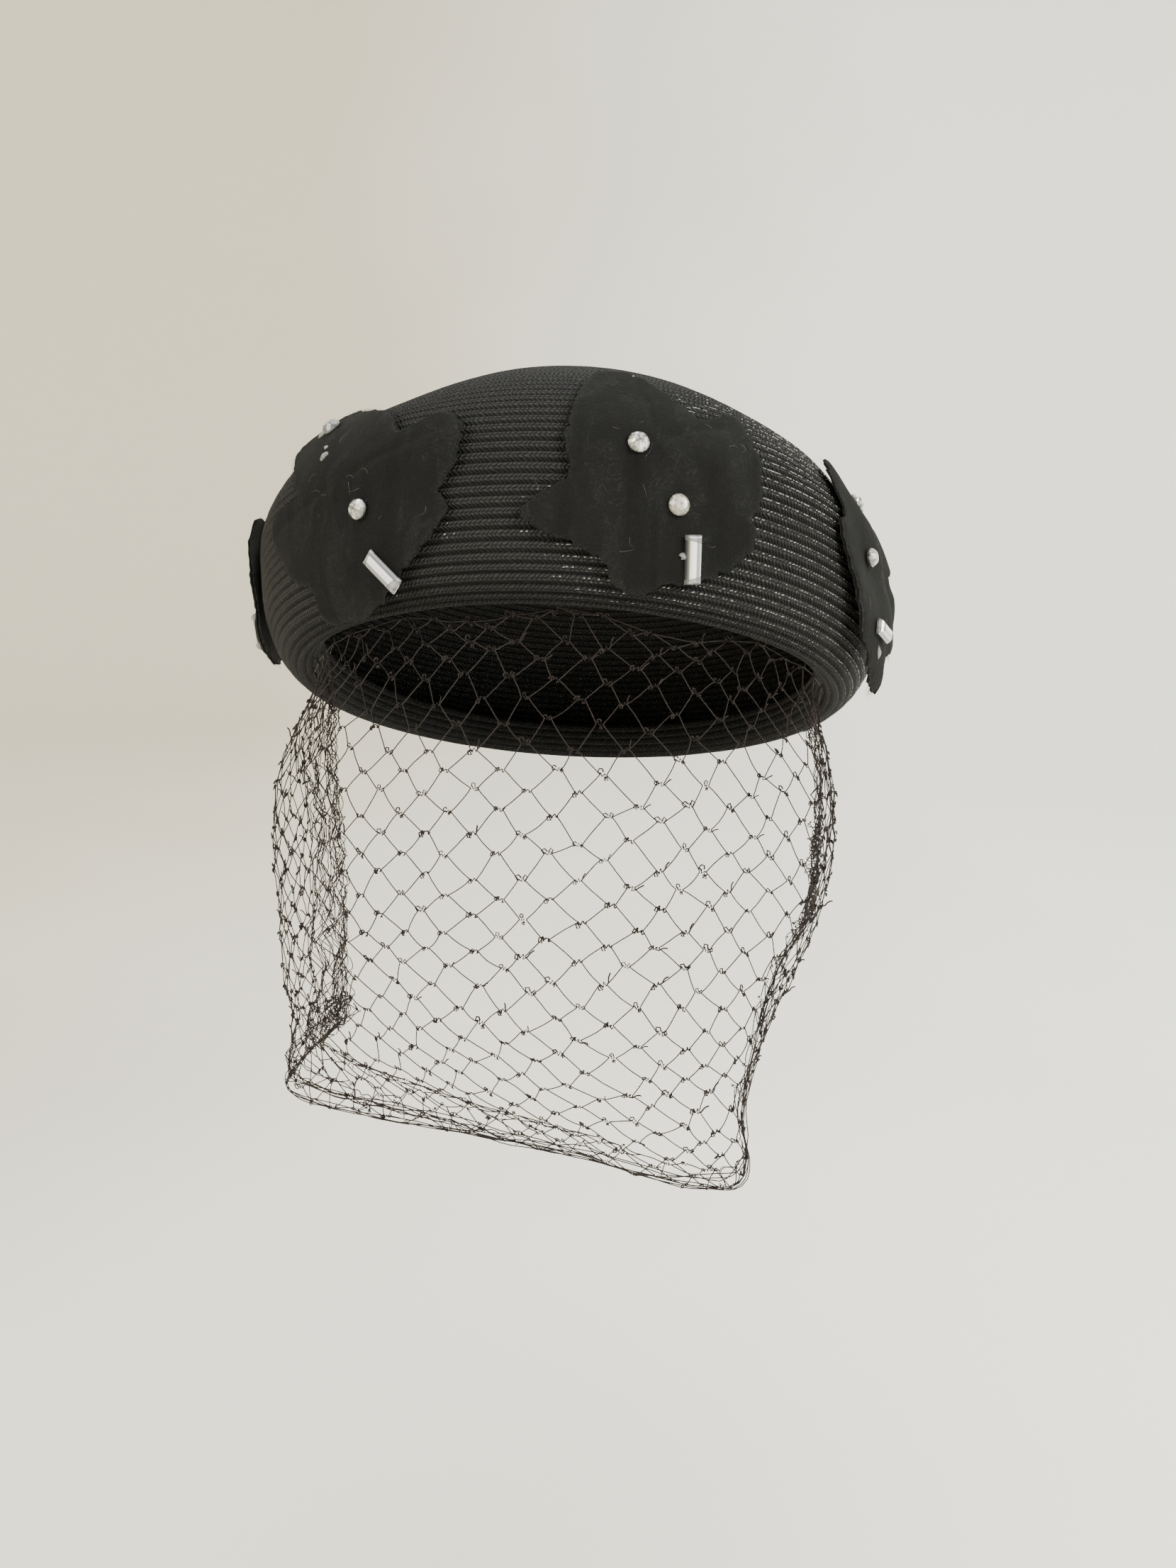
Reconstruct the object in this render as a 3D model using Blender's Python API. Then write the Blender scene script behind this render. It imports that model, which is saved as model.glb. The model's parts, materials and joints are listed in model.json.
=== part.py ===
# Black sewn braid hat, worn tilted back, with velvet leaves, glued stones and a net veil.
# Metres, +Z up. The front of the hat looks along -Y, and the viewer's right is +X.
# The origin is the middle of the head opening.

import math
from collections import namedtuple

import bpy
from mathutils import Matrix, Vector

# Crown
CROWN_WIDTH = 0.1846            # widest, side to side
CROWN_LENGTH = 0.2190           # widest, front to back
CROWN_HEIGHT = 0.0845           # from the plane of the rim to the top
CROWN_WALL = 0.0020             # sewn braid
CROWN_TILT_DEGREES = 22         # the front is worn higher than the back
OPEN_WIDTH = 0.1460             # between the turned-in rows of the rim
OPEN_LENGTH = 0.1840
CROWN_SIDES = 52
CROWN_STEPS = 20

# Velvet leaves
LEAF_REACH = 0.0345             # from a leaf's middle to its longest lobe
LEAF_THICK = 0.0012
LEAF_GAP = 0.0009               # over the braid at a leaf's corners, about 0.3 mm between them
LEAF_EDGE_STEP = 0.0085         # longest side of a leaf's outline

# Stones
STONE_GAP = 0.0003
ROUND_WIDTH = 0.0050
ROUND_HEIGHT = 0.0019
BAGUETTE_WIDTH = 0.0040
BAGUETTE_LENGTH = 0.0110
BAGUETTE_HEIGHT = 0.0021
GIRDLE_RISE = 0.0006            # upright side of every stone

# Net veil
VEIL_FALL = 0.1100              # from the middle of the head opening down to the hem
VEIL_STRAND = 0.0013            # width of a strand in its surface
VEIL_THICK = 0.0010
VEIL_GAP = 0.0003               # to the rim that it is sewn to
VEIL_TUCK = 0.94                # where on the braid's run the top edge sits, 1 is the lip
VEIL_CLEAR = 0.0080             # drop straight down from the rim before the net spreads
VEIL_COLUMNS = 11
VEIL_ROWS = 10

# The braid's run from the middle of the top out to the widest row:
# reach is a share of the half width, rise a share of the height.
CROWN_TOP = (
    # reach, rise
    (0.00, 1.000),
    (0.20, 0.985),
    (0.38, 0.945),
    (0.52, 0.885),
    (0.66, 0.815),
    (0.78, 0.740),
    (0.88, 0.650),
    (0.96, 0.530),
    (1.00, 0.410),
)

# From the widest row down and under the rim to the lip inside:
# reach runs from 1 at the widest row to 0 at the head opening.
CROWN_RIM = (
    # reach, rise
    (0.97, 0.290),
    (0.86, 0.160),
    (0.64, 0.055),
    (0.36, 0.000),
    (0.14, 0.010),
    (0.02, 0.060),
    (0.00, 0.130),
)

# Outlines of the two leaf patterns, clockwise from the top lobe, as shares of LEAF_REACH
LEAF_PATTERNS = {
    "upright": (
        # across, up
        (-0.14, 0.83), (0.06, 0.69), (0.19, 0.53), (0.36, 0.42), (0.64, 0.56), (0.72, 0.36),
        (0.78, 0.11), (0.78, -0.11), (0.72, -0.22), (0.78, -0.33), (0.69, -0.50), (0.42, -0.67),
        (0.17, -0.72), (0.06, -0.81), (-0.19, -0.75), (-0.28, -0.61), (-0.72, -0.44),
        (-0.81, -0.31), (-0.53, -0.11), (-0.56, 0.11), (-0.50, 0.50), (-0.36, 0.78),
    ),
    "spread": (
        # across, up
        (-0.42, 0.86), (0.00, 0.68), (0.31, 0.50), (0.44, 0.33), (0.81, 0.42), (0.94, 0.22),
        (0.89, 0.03), (0.78, -0.11), (0.86, -0.22), (0.72, -0.39), (0.50, -0.56), (0.22, -0.75),
        (-0.22, -0.83), (-0.50, -0.78), (-0.47, -0.58), (-0.72, -0.44), (-1.00, -0.08),
        (-0.83, 0.06), (-0.58, 0.08), (-0.67, 0.25), (-0.86, 0.53), (-0.69, 0.76),
    ),
}

# Leaves round the side, from the front towards the viewer's right. Turn is in degrees from
# the front, run is the share of the braid's run at the leaf's middle, spin is in degrees,
# side mirrors the pattern, and curl and hang lift the edge and the lower lobes off the
# braid, as shares of LEAF_REACH.
Leaf = namedtuple("Leaf", "name pattern turn run spin side curl hang")
LEAVES = (
    Leaf("leaf_1", "upright", 10.8, 0.713, 0, 1, 0.01, 0.00),
    Leaf("leaf_2", "spread", 61, 0.700, 12, -1, 0.02, 0.24),
    Leaf("leaf_3", "upright", 114, 0.70, -10, -1, 0.01, 0.04),
    Leaf("leaf_4", "spread", 166, 0.69, 8, 1, 0.02, 0.04),
    Leaf("leaf_5", "upright", -142, 0.70, 6, 1, 0.01, 0.04),
    Leaf("leaf_6", "spread", -90, 0.68, -8, -1, 0.02, 0.05),
    Leaf("leaf_7", "spread", -34.5, 0.728, 0, 1, 0.02, 0.04),
)

# Stones of each leaf: place as shares of LEAF_REACH in the leaf's own pattern, and the way
# the baguette points in degrees clockwise from upright.
STONES = {
    # leaf: (upper across, up), (lower across, up), (baguette across, up, point)
    "leaf_1": ((-0.10, 0.12), (0.19, -0.23), (0.33, -0.54, -6)),
    "leaf_2": ((-0.16, 0.68), (0.30, -0.20), (-0.10, -0.56, 75)),
    "leaf_3": ((-0.10, 0.34), (0.12, -0.14), (0.22, -0.50, 20)),
    "leaf_4": ((-0.34, 0.62), (0.12, -0.12), (0.20, -0.50, -25)),
    "leaf_5": ((-0.10, 0.30), (0.16, -0.18), (0.20, -0.54, -12)),
    "leaf_6": ((-0.34, 0.60), (0.14, -0.14), (-0.14, -0.60, 30)),
    "leaf_7": ((-0.40, 0.60), (0.14, -0.16), (0.32, -0.57, 138)),
}

# Where the net hangs, in lines from the rim down to the hem, from the viewer's left round
# the front to the right. Turn is the place on the rim in degrees from the front, and fall
# the line's own share of VEIL_FALL. Across is a share of the half width of the crown and
# back a share of its half length, at each of VEIL_DEPTHS down the line.
VEIL_DEPTHS = (0.16, 0.45, 0.74, 1.00)
VEIL_FOLDS = (
    # turn, fall, across and back at each depth
    (-97, 1.00, (-0.81, 0.11), (-0.78, 0.11), (-0.76, 0.11), (-0.74, 0.04)),
    (-80, 1.00, (-0.85, -0.13), (-0.83, -0.13), (-0.84, -0.16), (-0.82, -0.39)),
    (-56, 1.00, (-0.81, -0.50), (-0.80, -0.51), (-0.76, -0.48), (-0.56, -0.53)),
    (-30, 1.00, (-0.49, -0.77), (-0.46, -0.79), (-0.39, -0.71), (-0.26, -0.60)),
    (-3, 1.00, (-0.02, -0.88), (0.00, -0.92), (0.03, -0.86), (0.05, -0.67)),
    (25, 1.00, (0.46, -0.80), (0.43, -0.85), (0.42, -0.87), (0.54, -0.80)),
    (50, 0.90, (0.74, -0.59), (0.73, -0.62), (0.63, -0.62), (0.58, -0.57)),
    (72, 0.66, (0.81, -0.29), (0.82, -0.31), (0.78, -0.33), (0.69, -0.33)),
    (92, 0.59, (0.83, 0.05), (0.85, 0.04), (0.86, 0.02), (0.86, 0.00)),
)


def smooth_between(before, start, end, after, t):
    """A point on the smooth curve from start to end, past the points on either side."""
    return 0.5 * (2 * start + (end - before) * t
                  + (2 * before - 5 * start + 4 * end - after) * t * t
                  + (3 * start - before - 3 * end + after) * t ** 3)


def smooth_path(points, share):
    """The point at a share of the length of a smooth curve through the points."""
    lengths = [0.0]
    for a, b in zip(points, points[1:]):
        lengths.append(lengths[-1] + (b - a).length)
    place = share * lengths[-1]
    k = max([i for i in range(len(points) - 1) if lengths[i] <= place], default=0)
    before = points[k - 1] if k > 0 else 2 * points[0] - points[1]
    after = points[k + 2] if k + 2 < len(points) else 2 * points[-1] - points[-2]
    t = (place - lengths[k]) / (lengths[k + 1] - lengths[k])
    return smooth_between(before, points[k], points[k + 1], after, t)


def braid_run():
    """Half width, height and extra half length of the braid from the top to the lip."""
    run = []
    for reach, rise in CROWN_TOP:
        run.append((reach * CROWN_WIDTH / 2, rise * CROWN_HEIGHT,
                    reach * (CROWN_LENGTH - CROWN_WIDTH) / 2))
    for reach, rise in CROWN_RIM:
        half_width = OPEN_WIDTH / 2 + reach * (CROWN_WIDTH - OPEN_WIDTH) / 2
        half_length = OPEN_LENGTH / 2 + reach * (CROWN_LENGTH - OPEN_LENGTH) / 2
        run.append((half_width, rise * CROWN_HEIGHT, half_length - half_width))
    return [Vector(place) for place in run]


BRAID_RUN = braid_run()
TILT_BACK = Matrix.Rotation(-math.radians(CROWN_TILT_DEGREES), 3, "X")


def crown_frame(turn, run):
    """Point, way round, way up and outward normal of the crown at a turn and a run."""

    def at(angle, share):
        half_width, height, longer = smooth_path(BRAID_RUN, share)
        return TILT_BACK @ Vector((half_width * math.sin(angle),
                                   -(half_width + longer) * math.cos(angle), height))

    step = 0.002
    angle = math.radians(turn)
    beside = max(run, step)
    across = (at(angle + step, beside) - at(angle - step, beside)).normalized()
    up = (at(angle, run - step) - at(angle, run + step)).normalized()
    normal = across.cross(up).normalized()
    return at(angle, run), across, normal.cross(across).normalized(), normal


def crown_point(turn, run, lift):
    point, _, _, normal = crown_frame(turn, run)
    return point + lift * normal


def run_length():
    """Length of the braid's run down the side, where a leaf's height is measured."""
    return sum((b - a).length for a, b in zip(BRAID_RUN, BRAID_RUN[1:]))


RUN_LENGTH = run_length()


def plain_material(name, color, roughness):
    material = bpy.data.materials.new(name)
    material.use_nodes = True
    shader = material.node_tree.nodes["Principled BSDF"]
    shader.inputs["Base Color"].default_value = (*color, 1.0)
    shader.inputs["Roughness"].default_value = roughness
    shader.inputs["Metallic"].default_value = 0.0
    material.diffuse_color = (*color, 1.0)
    return material


def add_object(name, points, faces, material):
    mesh = bpy.data.meshes.new(name)
    mesh.from_pydata([tuple(p) for p in points], [], faces)
    mesh.materials.append(material)
    mesh.update()
    piece = bpy.data.objects.new(name, mesh)
    bpy.context.scene.collection.objects.link(piece)
    return piece


def add_wall(name, inner, outer, faces, material):
    """A closed wall: the faces look towards the outer points, and open edges get sides."""
    count = len(outer)
    walls = [tuple(face) for face in faces]
    walls += [tuple(i + count for i in reversed(face)) for face in faces]
    directed = {(a, b) for face in faces for a, b in zip(face, face[1:] + face[:1])}
    for a, b in sorted(directed):
        if (b, a) not in directed:
            walls.append((b, a, a + count, b + count))
    piece = add_object(name, list(outer) + list(inner), walls, material)
    piece.data.shade_smooth()
    piece.data.set_sharp_from_angle(angle=math.radians(50))
    return piece


def build_crown(material):
    outer = [crown_point(0, 0.0, 0.0)]
    inner = [crown_point(0, 0.0, -CROWN_WALL)]
    for step in range(1, CROWN_STEPS + 1):
        for side in range(CROWN_SIDES):
            turn = 360 * side / CROWN_SIDES
            outer.append(crown_point(turn, step / CROWN_STEPS, 0.0))
            inner.append(crown_point(turn, step / CROWN_STEPS, -CROWN_WALL))

    def ring(step, side):
        return 1 + (step - 1) * CROWN_SIDES + side % CROWN_SIDES

    faces = [(0, ring(1, side), ring(1, side + 1)) for side in range(CROWN_SIDES)]
    for step in range(1, CROWN_STEPS):
        for side in range(CROWN_SIDES):
            faces.append((ring(step, side), ring(step + 1, side), ring(step + 1, side + 1),
                          ring(step, side + 1)))
    return add_wall("crown", inner, outer, faces, material)


def leaf_place(leaf, across, up):
    """Turn, run and lift on the crown of a place in a leaf's pattern, given in metres."""
    tip = math.radians(leaf.spin)
    round_way = leaf.side * across * math.cos(tip) + up * math.sin(tip)
    up_way = up * math.cos(tip) - leaf.side * across * math.sin(tip)
    half_width, _, longer = smooth_path(BRAID_RUN, leaf.run)
    angle = math.radians(leaf.turn)
    local_radius = math.hypot(half_width * math.cos(angle),
                              (half_width + longer) * math.sin(angle))
    edge = math.hypot(across, up) / LEAF_REACH
    below = max(-up_way / LEAF_REACH, 0.0)
    lift = LEAF_GAP + LEAF_REACH * (leaf.curl * edge ** 3 + leaf.hang * below ** 2)
    turn = leaf.turn + math.degrees(round_way / local_radius)
    return turn, leaf.run - up_way / RUN_LENGTH, lift


def leaf_point(leaf, across, up, extra=0.0):
    turn, run, lift = leaf_place(leaf, across, up)
    return crown_point(turn, run, lift + extra)


def leaf_outline(pattern):
    """The pattern's lobes in metres, with their long sides divided into curves."""
    lobes = [Vector(p) * LEAF_REACH for p in LEAF_PATTERNS[pattern]]
    count = len(lobes)
    outline = []
    for k, start in enumerate(lobes):
        end = lobes[(k + 1) % count]
        parts = max(1, math.ceil((end - start).length / LEAF_EDGE_STEP))
        outline += [smooth_between(lobes[k - 1], start, end, lobes[(k + 2) % count],
                                   part / parts) for part in range(parts)]
    return outline


def build_leaf(leaf, material):
    outline = leaf_outline(leaf.pattern)
    rings = (0.26, 0.52, 0.77, 1.0)
    flat = [Vector((0.0, 0.0))] + [share * corner for share in rings for corner in outline]
    under = [leaf_point(leaf, *p) for p in flat]
    over = [leaf_point(leaf, *p, extra=LEAF_THICK) for p in flat]
    count = len(outline)
    faces = []
    for k in range(count):
        n = (k + 1) % count
        faces.append((0, 1 + n, 1 + k))
        for ring in range(len(rings) - 1):
            low, high = 1 + ring * count, 1 + (ring + 1) * count
            faces.append((low + k, low + n, high + n, high + k))
    if leaf.side < 0:
        faces = [tuple(reversed(face)) for face in faces]
    return add_wall(leaf.name, under, over, faces, material)


def stone_frame(leaf, across, up):
    """Where a stone stands on its leaf, as a matrix with Z out of the leaf."""
    step = LEAF_REACH / 30
    origin = leaf_point(leaf, across, up, extra=LEAF_THICK + STONE_GAP)
    right = leaf_point(leaf, across + step, up) - leaf_point(leaf, across - step, up)
    above = leaf_point(leaf, across, up + step) - leaf_point(leaf, across, up - step)
    right = right.normalized() * leaf.side
    normal = right.cross(above).normalized()
    above = normal.cross(right)
    return Matrix.Translation(origin) @ Matrix((right, above, normal)).transposed().to_4x4()


def stack_rings(name, rings, place, material):
    """A closed stone from rings of points, from its back up to its table."""
    points = [place @ Vector(p) for ring in rings for p in ring]
    starts = [sum(len(r) for r in rings[:k]) for k in range(len(rings))]
    faces = [tuple(reversed(range(len(rings[0]))))]
    for k in range(len(rings) - 1):
        low, high, n, m = starts[k], starts[k + 1], len(rings[k]), len(rings[k + 1])
        if n == m:
            faces += [(low + i, low + (i + 1) % n, high + (i + 1) % m, high + i)
                      for i in range(n)]
        else:
            for i in range(m):
                mid, left, right = low + 2 * i, low + (2 * i - 1) % n, low + 2 * i + 1
                faces.append((left, mid, high + i))
                faces.append((mid, right, high + i))
                faces.append((right, high + (i + 1) % m, high + i))
    faces.append(tuple(starts[-1] + i for i in range(len(rings[-1]))))
    return add_object(name, points, faces, material)


def build_round(name, place, material):
    """A round flat-backed stone: 16-sided girdle, three rows of 8 facets and a table."""
    radius = ROUND_WIDTH / 2
    table = 0.52 * radius

    def circle(count, size, height):
        return [(size * math.sin(-math.tau * i / count), size * math.cos(math.tau * i / count),
                 height) for i in range(count)]

    rings = [circle(16, radius, 0.0), circle(16, radius, GIRDLE_RISE),
             circle(8, table, ROUND_HEIGHT)]
    return stack_rings(name, rings, place, material)


def build_baguette(name, place, point, material):
    """A step-cut bar: a low and a high row of four facets round a long table."""
    rings = []
    rise = BAGUETTE_HEIGHT - GIRDLE_RISE
    for inset, height in ((0.0, 0.0), (0.0, GIRDLE_RISE), (0.12, GIRDLE_RISE + 0.6 * rise),
                          (0.28, BAGUETTE_HEIGHT)):
        x = BAGUETTE_WIDTH * (0.5 - inset)
        y = BAGUETTE_LENGTH / 2 - BAGUETTE_WIDTH * inset
        rings.append([(x, y, height), (-x, y, height), (-x, -y, height), (x, -y, height)])
    turned = place @ Matrix.Rotation(-math.radians(point), 4, "Z")
    return stack_rings(name, rings, turned, material)


def build_stones(leaf, material):
    upper, lower, bar = STONES[leaf.name]
    for part, (across, up) in (("round_upper", upper), ("round_lower", lower)):
        place = stone_frame(leaf, across * LEAF_REACH, up * LEAF_REACH)
        build_round(f"{leaf.name}_{part}", place, material)
    across, up, point = bar
    place = stone_frame(leaf, across * LEAF_REACH, up * LEAF_REACH)
    build_baguette(f"{leaf.name}_baguette", place, point, material)


def veil_lines():
    """One list of points for each line of the net, from the rim down to the hem."""
    lines = []
    for turn, fall, *places in VEIL_FOLDS:
        sewn = crown_point(turn, VEIL_TUCK, VEIL_GAP + VEIL_THICK / 2)
        line = [sewn, sewn - Vector((0, 0, VEIL_CLEAR))]
        for depth, (across, back) in zip(VEIL_DEPTHS, places):
            line.append(Vector((across * CROWN_WIDTH / 2, back * CROWN_LENGTH / 2,
                                -depth * fall * VEIL_FALL)))
        lines.append(line)
    return lines


VEIL_LINES = veil_lines()


def veil_point(round_share, down_share):
    row = [smooth_path(line, down_share) for line in VEIL_LINES]
    return smooth_path(row, round_share)


def veil_frame(round_share, down_share):
    """Point, way round, way up and outward normal of the net."""
    step = 0.01
    left, right = max(round_share - step, 0.0), min(round_share + step, 1.0)
    low, high = max(down_share - step, 0.0), min(down_share + step, 1.0)
    across = (veil_point(right, down_share) - veil_point(left, down_share)).normalized()
    up = (veil_point(round_share, low) - veil_point(round_share, high)).normalized()
    normal = across.cross(up).normalized()
    return veil_point(round_share, down_share), across, normal.cross(across), normal


def build_veil(material):
    """The net as one pierced sheet of crossing strands, sewn on along its top row."""
    corners = {"up": 0, "left": 1, "down": 2, "right": 3}
    knots = {}
    inner, outer = [], []
    for row in range(VEIL_ROWS + 1):
        for place in range(VEIL_COLUMNS + 1 - row % 2):
            knots[row, place] = 4 * len(knots)
            point, across, up, normal = veil_frame((place + 0.5 * (row % 2)) / VEIL_COLUMNS,
                                                   row / VEIL_ROWS)
            half = VEIL_STRAND / math.sqrt(2)
            for offset in (up * half, -across * half, -up * half, across * half):
                inner.append(point + offset - normal * VEIL_THICK / 2)
                outer.append(point + offset + normal * VEIL_THICK / 2)

    def corner(knot, way):
        return knots[knot] + corners[way]

    faces = []
    for row, place in knots:
        knot = (row, place)
        faces.append(tuple(corner(knot, way) for way in corners))
        lower_left = (row + 1, place - 1 + row % 2)
        lower_right = (row + 1, place + row % 2)
        beside = (row, place + 1)
        if lower_left in knots:
            faces.append((corner(knot, "left"), corner(lower_left, "up"),
                          corner(lower_left, "right"), corner(knot, "down")))
        if lower_right in knots:
            faces.append((corner(knot, "down"), corner(lower_right, "left"),
                          corner(lower_right, "up"), corner(knot, "right")))
        if row == 0 and beside in knots:
            faces.append((corner(knot, "up"), corner(knot, "right"),
                          corner(beside, "left"), corner(beside, "up")))
        if row == VEIL_ROWS and beside in knots:
            faces.append((corner(knot, "right"), corner(knot, "down"),
                          corner(beside, "down"), corner(beside, "left")))
    return add_wall("veil_net", inner, outer, faces, material)


def build_hat():
    for item in list(bpy.data.objects):
        bpy.data.objects.remove(item, do_unlink=True)
    braid = plain_material("braid", (0.020, 0.022, 0.021), 0.55)
    build_crown(braid)
    for leaf in LEAVES:
        velvet = plain_material(f"{leaf.name}_velvet", (0.008, 0.008, 0.009), 0.95)
        glass = plain_material(f"{leaf.name}_glass", (0.80, 0.80, 0.78), 0.06)
        build_leaf(leaf, velvet)
        build_stones(leaf, glass)
    net = plain_material("net", (0.030, 0.022, 0.020), 0.75)
    build_veil(net)


build_hat()
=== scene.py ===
# A black sewn braid hat, worn tilted back: velvet leaves, foiled stones and a knotted net veil
import json
import math

import bmesh
import bpy
import numpy as np
from mathutils import Matrix, Vector

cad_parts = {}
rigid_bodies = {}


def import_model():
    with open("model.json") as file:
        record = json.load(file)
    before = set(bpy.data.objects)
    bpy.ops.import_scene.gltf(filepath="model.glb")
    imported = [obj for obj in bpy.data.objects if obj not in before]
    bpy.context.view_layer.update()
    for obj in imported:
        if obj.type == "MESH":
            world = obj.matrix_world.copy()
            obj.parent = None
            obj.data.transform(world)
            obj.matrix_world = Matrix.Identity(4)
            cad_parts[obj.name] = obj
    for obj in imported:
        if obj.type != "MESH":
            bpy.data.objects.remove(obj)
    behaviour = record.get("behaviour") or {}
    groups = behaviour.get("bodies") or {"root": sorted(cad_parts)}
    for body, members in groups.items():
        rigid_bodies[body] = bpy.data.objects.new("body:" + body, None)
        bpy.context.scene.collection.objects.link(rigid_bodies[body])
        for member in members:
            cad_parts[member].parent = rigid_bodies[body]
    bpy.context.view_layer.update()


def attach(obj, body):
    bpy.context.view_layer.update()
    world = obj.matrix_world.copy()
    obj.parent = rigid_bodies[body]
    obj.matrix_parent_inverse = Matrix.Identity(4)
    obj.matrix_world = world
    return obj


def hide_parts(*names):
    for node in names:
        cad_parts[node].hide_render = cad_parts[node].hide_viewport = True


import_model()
scene = bpy.context.scene
print("frame loaded")

# Where the camera stood, in metres, and how far it looked down and leaned, in degrees
view = {"place": (0.0072, -0.3805, 0.0615), "down": 13.0, "roll": 3.0, "lens": 29.13}

camera = bpy.data.objects.new("camera", bpy.data.cameras.new("camera"))
camera.data.sensor_width = 36
camera.data.lens = view["lens"]
camera.data.clip_start = 0.01
camera.location = view["place"]
camera.rotation_euler = (
    Matrix.Rotation(math.radians(90 - view["down"]), 3, "X")
    @ Matrix.Rotation(math.radians(view["roll"]), 3, "Z")
).to_euler()
scene.collection.objects.link(camera)
scene.camera = camera


def maths(operation):
    return lambda one, other: one.do(operation, other)


class Sock:
    # one socket of a node tree, so that node maths reads as plain Python
    def __init__(self, graph, socket):
        self.graph = graph
        self.socket = socket

    def do(self, operation, *others):
        values = dict(enumerate((self,) + others))
        return self.graph.add("ShaderNodeMath", {"operation": operation}, values)

    def __rsub__(self, other):
        return self.graph.add("ShaderNodeMath", {"operation": "SUBTRACT"}, {0: other, 1: self})

    __add__ = __radd__ = maths("ADD")
    __sub__ = maths("SUBTRACT")
    __mul__ = __rmul__ = maths("MULTIPLY")
    __truediv__ = maths("DIVIDE")
    __pow__ = maths("POWER")
    __gt__ = maths("GREATER_THAN")
    __lt__ = maths("LESS_THAN")


class Graph:
    # a shader or geometry tree; add() makes any node, settings first and then its sockets
    def __init__(self, tree):
        self.tree = tree

    def add(self, kind, settings=None, values=None, out=0):
        node = self.tree.nodes.new(kind)
        for name, value in (settings or {}).items():
            if name == "stops":
                self.setStops(node.color_ramp, value)
            elif name == "curve":
                self.setCurve(node.mapping, value)
            else:
                setattr(node, name, value)
        for key, value in (values or {}).items():
            self.feed(node.inputs[key], value)
        return Sock(self, node.outputs[out])

    def feed(self, socket, value):
        if isinstance(value, Sock):
            self.tree.links.new(value.socket, socket)
        else:
            socket.default_value = value

    def setStops(self, ramp, stops):
        while len(ramp.elements) < len(stops):
            ramp.elements.new(0.5)
        for element, (place, shade) in zip(ramp.elements, stops):
            element.position = place
            element.color = (shade, shade, shade, 1)

    def setCurve(self, mapping, points):
        curve = mapping.curves[0]
        while len(curve.points) < len(points):
            curve.points.new(0.5, 0.5)
        for point, place in zip(curve.points, points):
            point.location = place
        mapping.update()

    def blend(self, factor, *colours):
        first, second = (c if isinstance(c, Sock) else (*c, 1) for c in colours)
        return self.add("ShaderNodeMix", {"data_type": "RGBA"}, {0: factor, 6: first, 7: second}, 2)

    def split(self, vector):
        parts = self.add("ShaderNodeSeparateXYZ", None, {0: vector}).socket.node.outputs
        return Sock(self, parts[0]), Sock(self, parts[1])

    def attribute(self, name, kind="FLOAT"):
        return self.add("GeometryNodeInputNamedAttribute", {"data_type": kind}, {"Name": name})

    def move(self, geometry, way, distance):
        offset = self.add("ShaderNodeVectorMath", {"operation": "SCALE"},
                          {0: way, "Scale": distance})
        return self.add("GeometryNodeSetPosition", None, {"Geometry": geometry, "Offset": offset})

    def tube(self, curves, sides, radius, more=None):
        ring = self.add("GeometryNodeCurvePrimitiveCircle", None,
                        {"Resolution": sides, "Radius": radius})
        return self.add("GeometryNodeCurveToMesh", None, {
            "Curve": curves, "Profile Curve": ring, "Fill Caps": True, **(more or {})})

    def onPiece(self):
        return self.add("ShaderNodeTexCoord", out=3)

    def lay(self):
        # the piece's own UV map, as two sockets
        return self.split(self.add("ShaderNodeUVMap", {"uv_map": "lay"}))

    def noise(self, where, scale, detail, more=None, out=0):
        values = {"Vector": where, "Scale": scale, "Detail": detail, **(more or {})}
        return self.add("ShaderNodeTexNoise", None, values, out)

    def chance(self, seed):
        return self.add("ShaderNodeTexWhiteNoise", {"noise_dimensions": "1D"}, {"W": seed})

    def bump(self, strength, distance, height):
        return self.add("ShaderNodeBump", None,
                        {"Strength": strength, "Distance": distance, "Height": height})


def newMaterial(name, **fixed):
    material = bpy.data.materials.new(name)
    material.use_nodes = True
    shader = material.node_tree.nodes["Principled BSDF"]
    for socket, value in fixed.items():
        shader.inputs[socket.replace("_", " ")].default_value = value
    material.diffuse_color = (*fixed.get("Base_Color", (0.5, 0.5, 0.5))[:3], 1)
    return material, Graph(material.node_tree), shader.inputs


def newTree(name, inputs):
    tree = bpy.data.node_groups.new(name, "GeometryNodeTree")
    tree.interface.new_socket("Geometry", in_out="OUTPUT", socket_type="NodeSocketGeometry")
    tree.interface.new_socket("Geometry", in_out="INPUT", socket_type="NodeSocketGeometry")
    for label, kind in inputs.items():
        tree.interface.new_socket(label, in_out="INPUT", socket_type="NodeSocket" + kind)
    graph = Graph(tree)
    source = tree.nodes.new("NodeGroupInput")
    sockets = {label: Sock(graph, source.outputs[label]) for label in ["Geometry", *inputs]}
    return graph, sockets


def endTree(graph, geometry, material):
    # every tree ends in real geometry with its material set
    real = graph.add("GeometryNodeRealizeInstances", None, {0: geometry})
    dressed = graph.add("GeometryNodeSetMaterial", None, {"Geometry": real, "Material": material})
    output = graph.tree.nodes.new("NodeGroupOutput")
    graph.feed(output.inputs[0], dressed)
    return graph.tree


def runTree(piece, tree, values):
    modifier = piece.modifiers.new(tree.name, "NODES")
    modifier.node_group = tree
    for item in tree.interface.items_tree:
        if item.item_type == "SOCKET" and item.in_out == "INPUT" and item.name in values:
            modifier[item.identifier] = values[item.name]
    graph = bpy.context.evaluated_depsgraph_get()
    mesh = bpy.data.meshes.new_from_object(piece.evaluated_get(graph),
                                           preserve_all_data_layers=True, depsgraph=graph)
    piece.modifiers.clear()
    piece.data = mesh
    mesh.name = piece.name
    return piece


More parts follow.
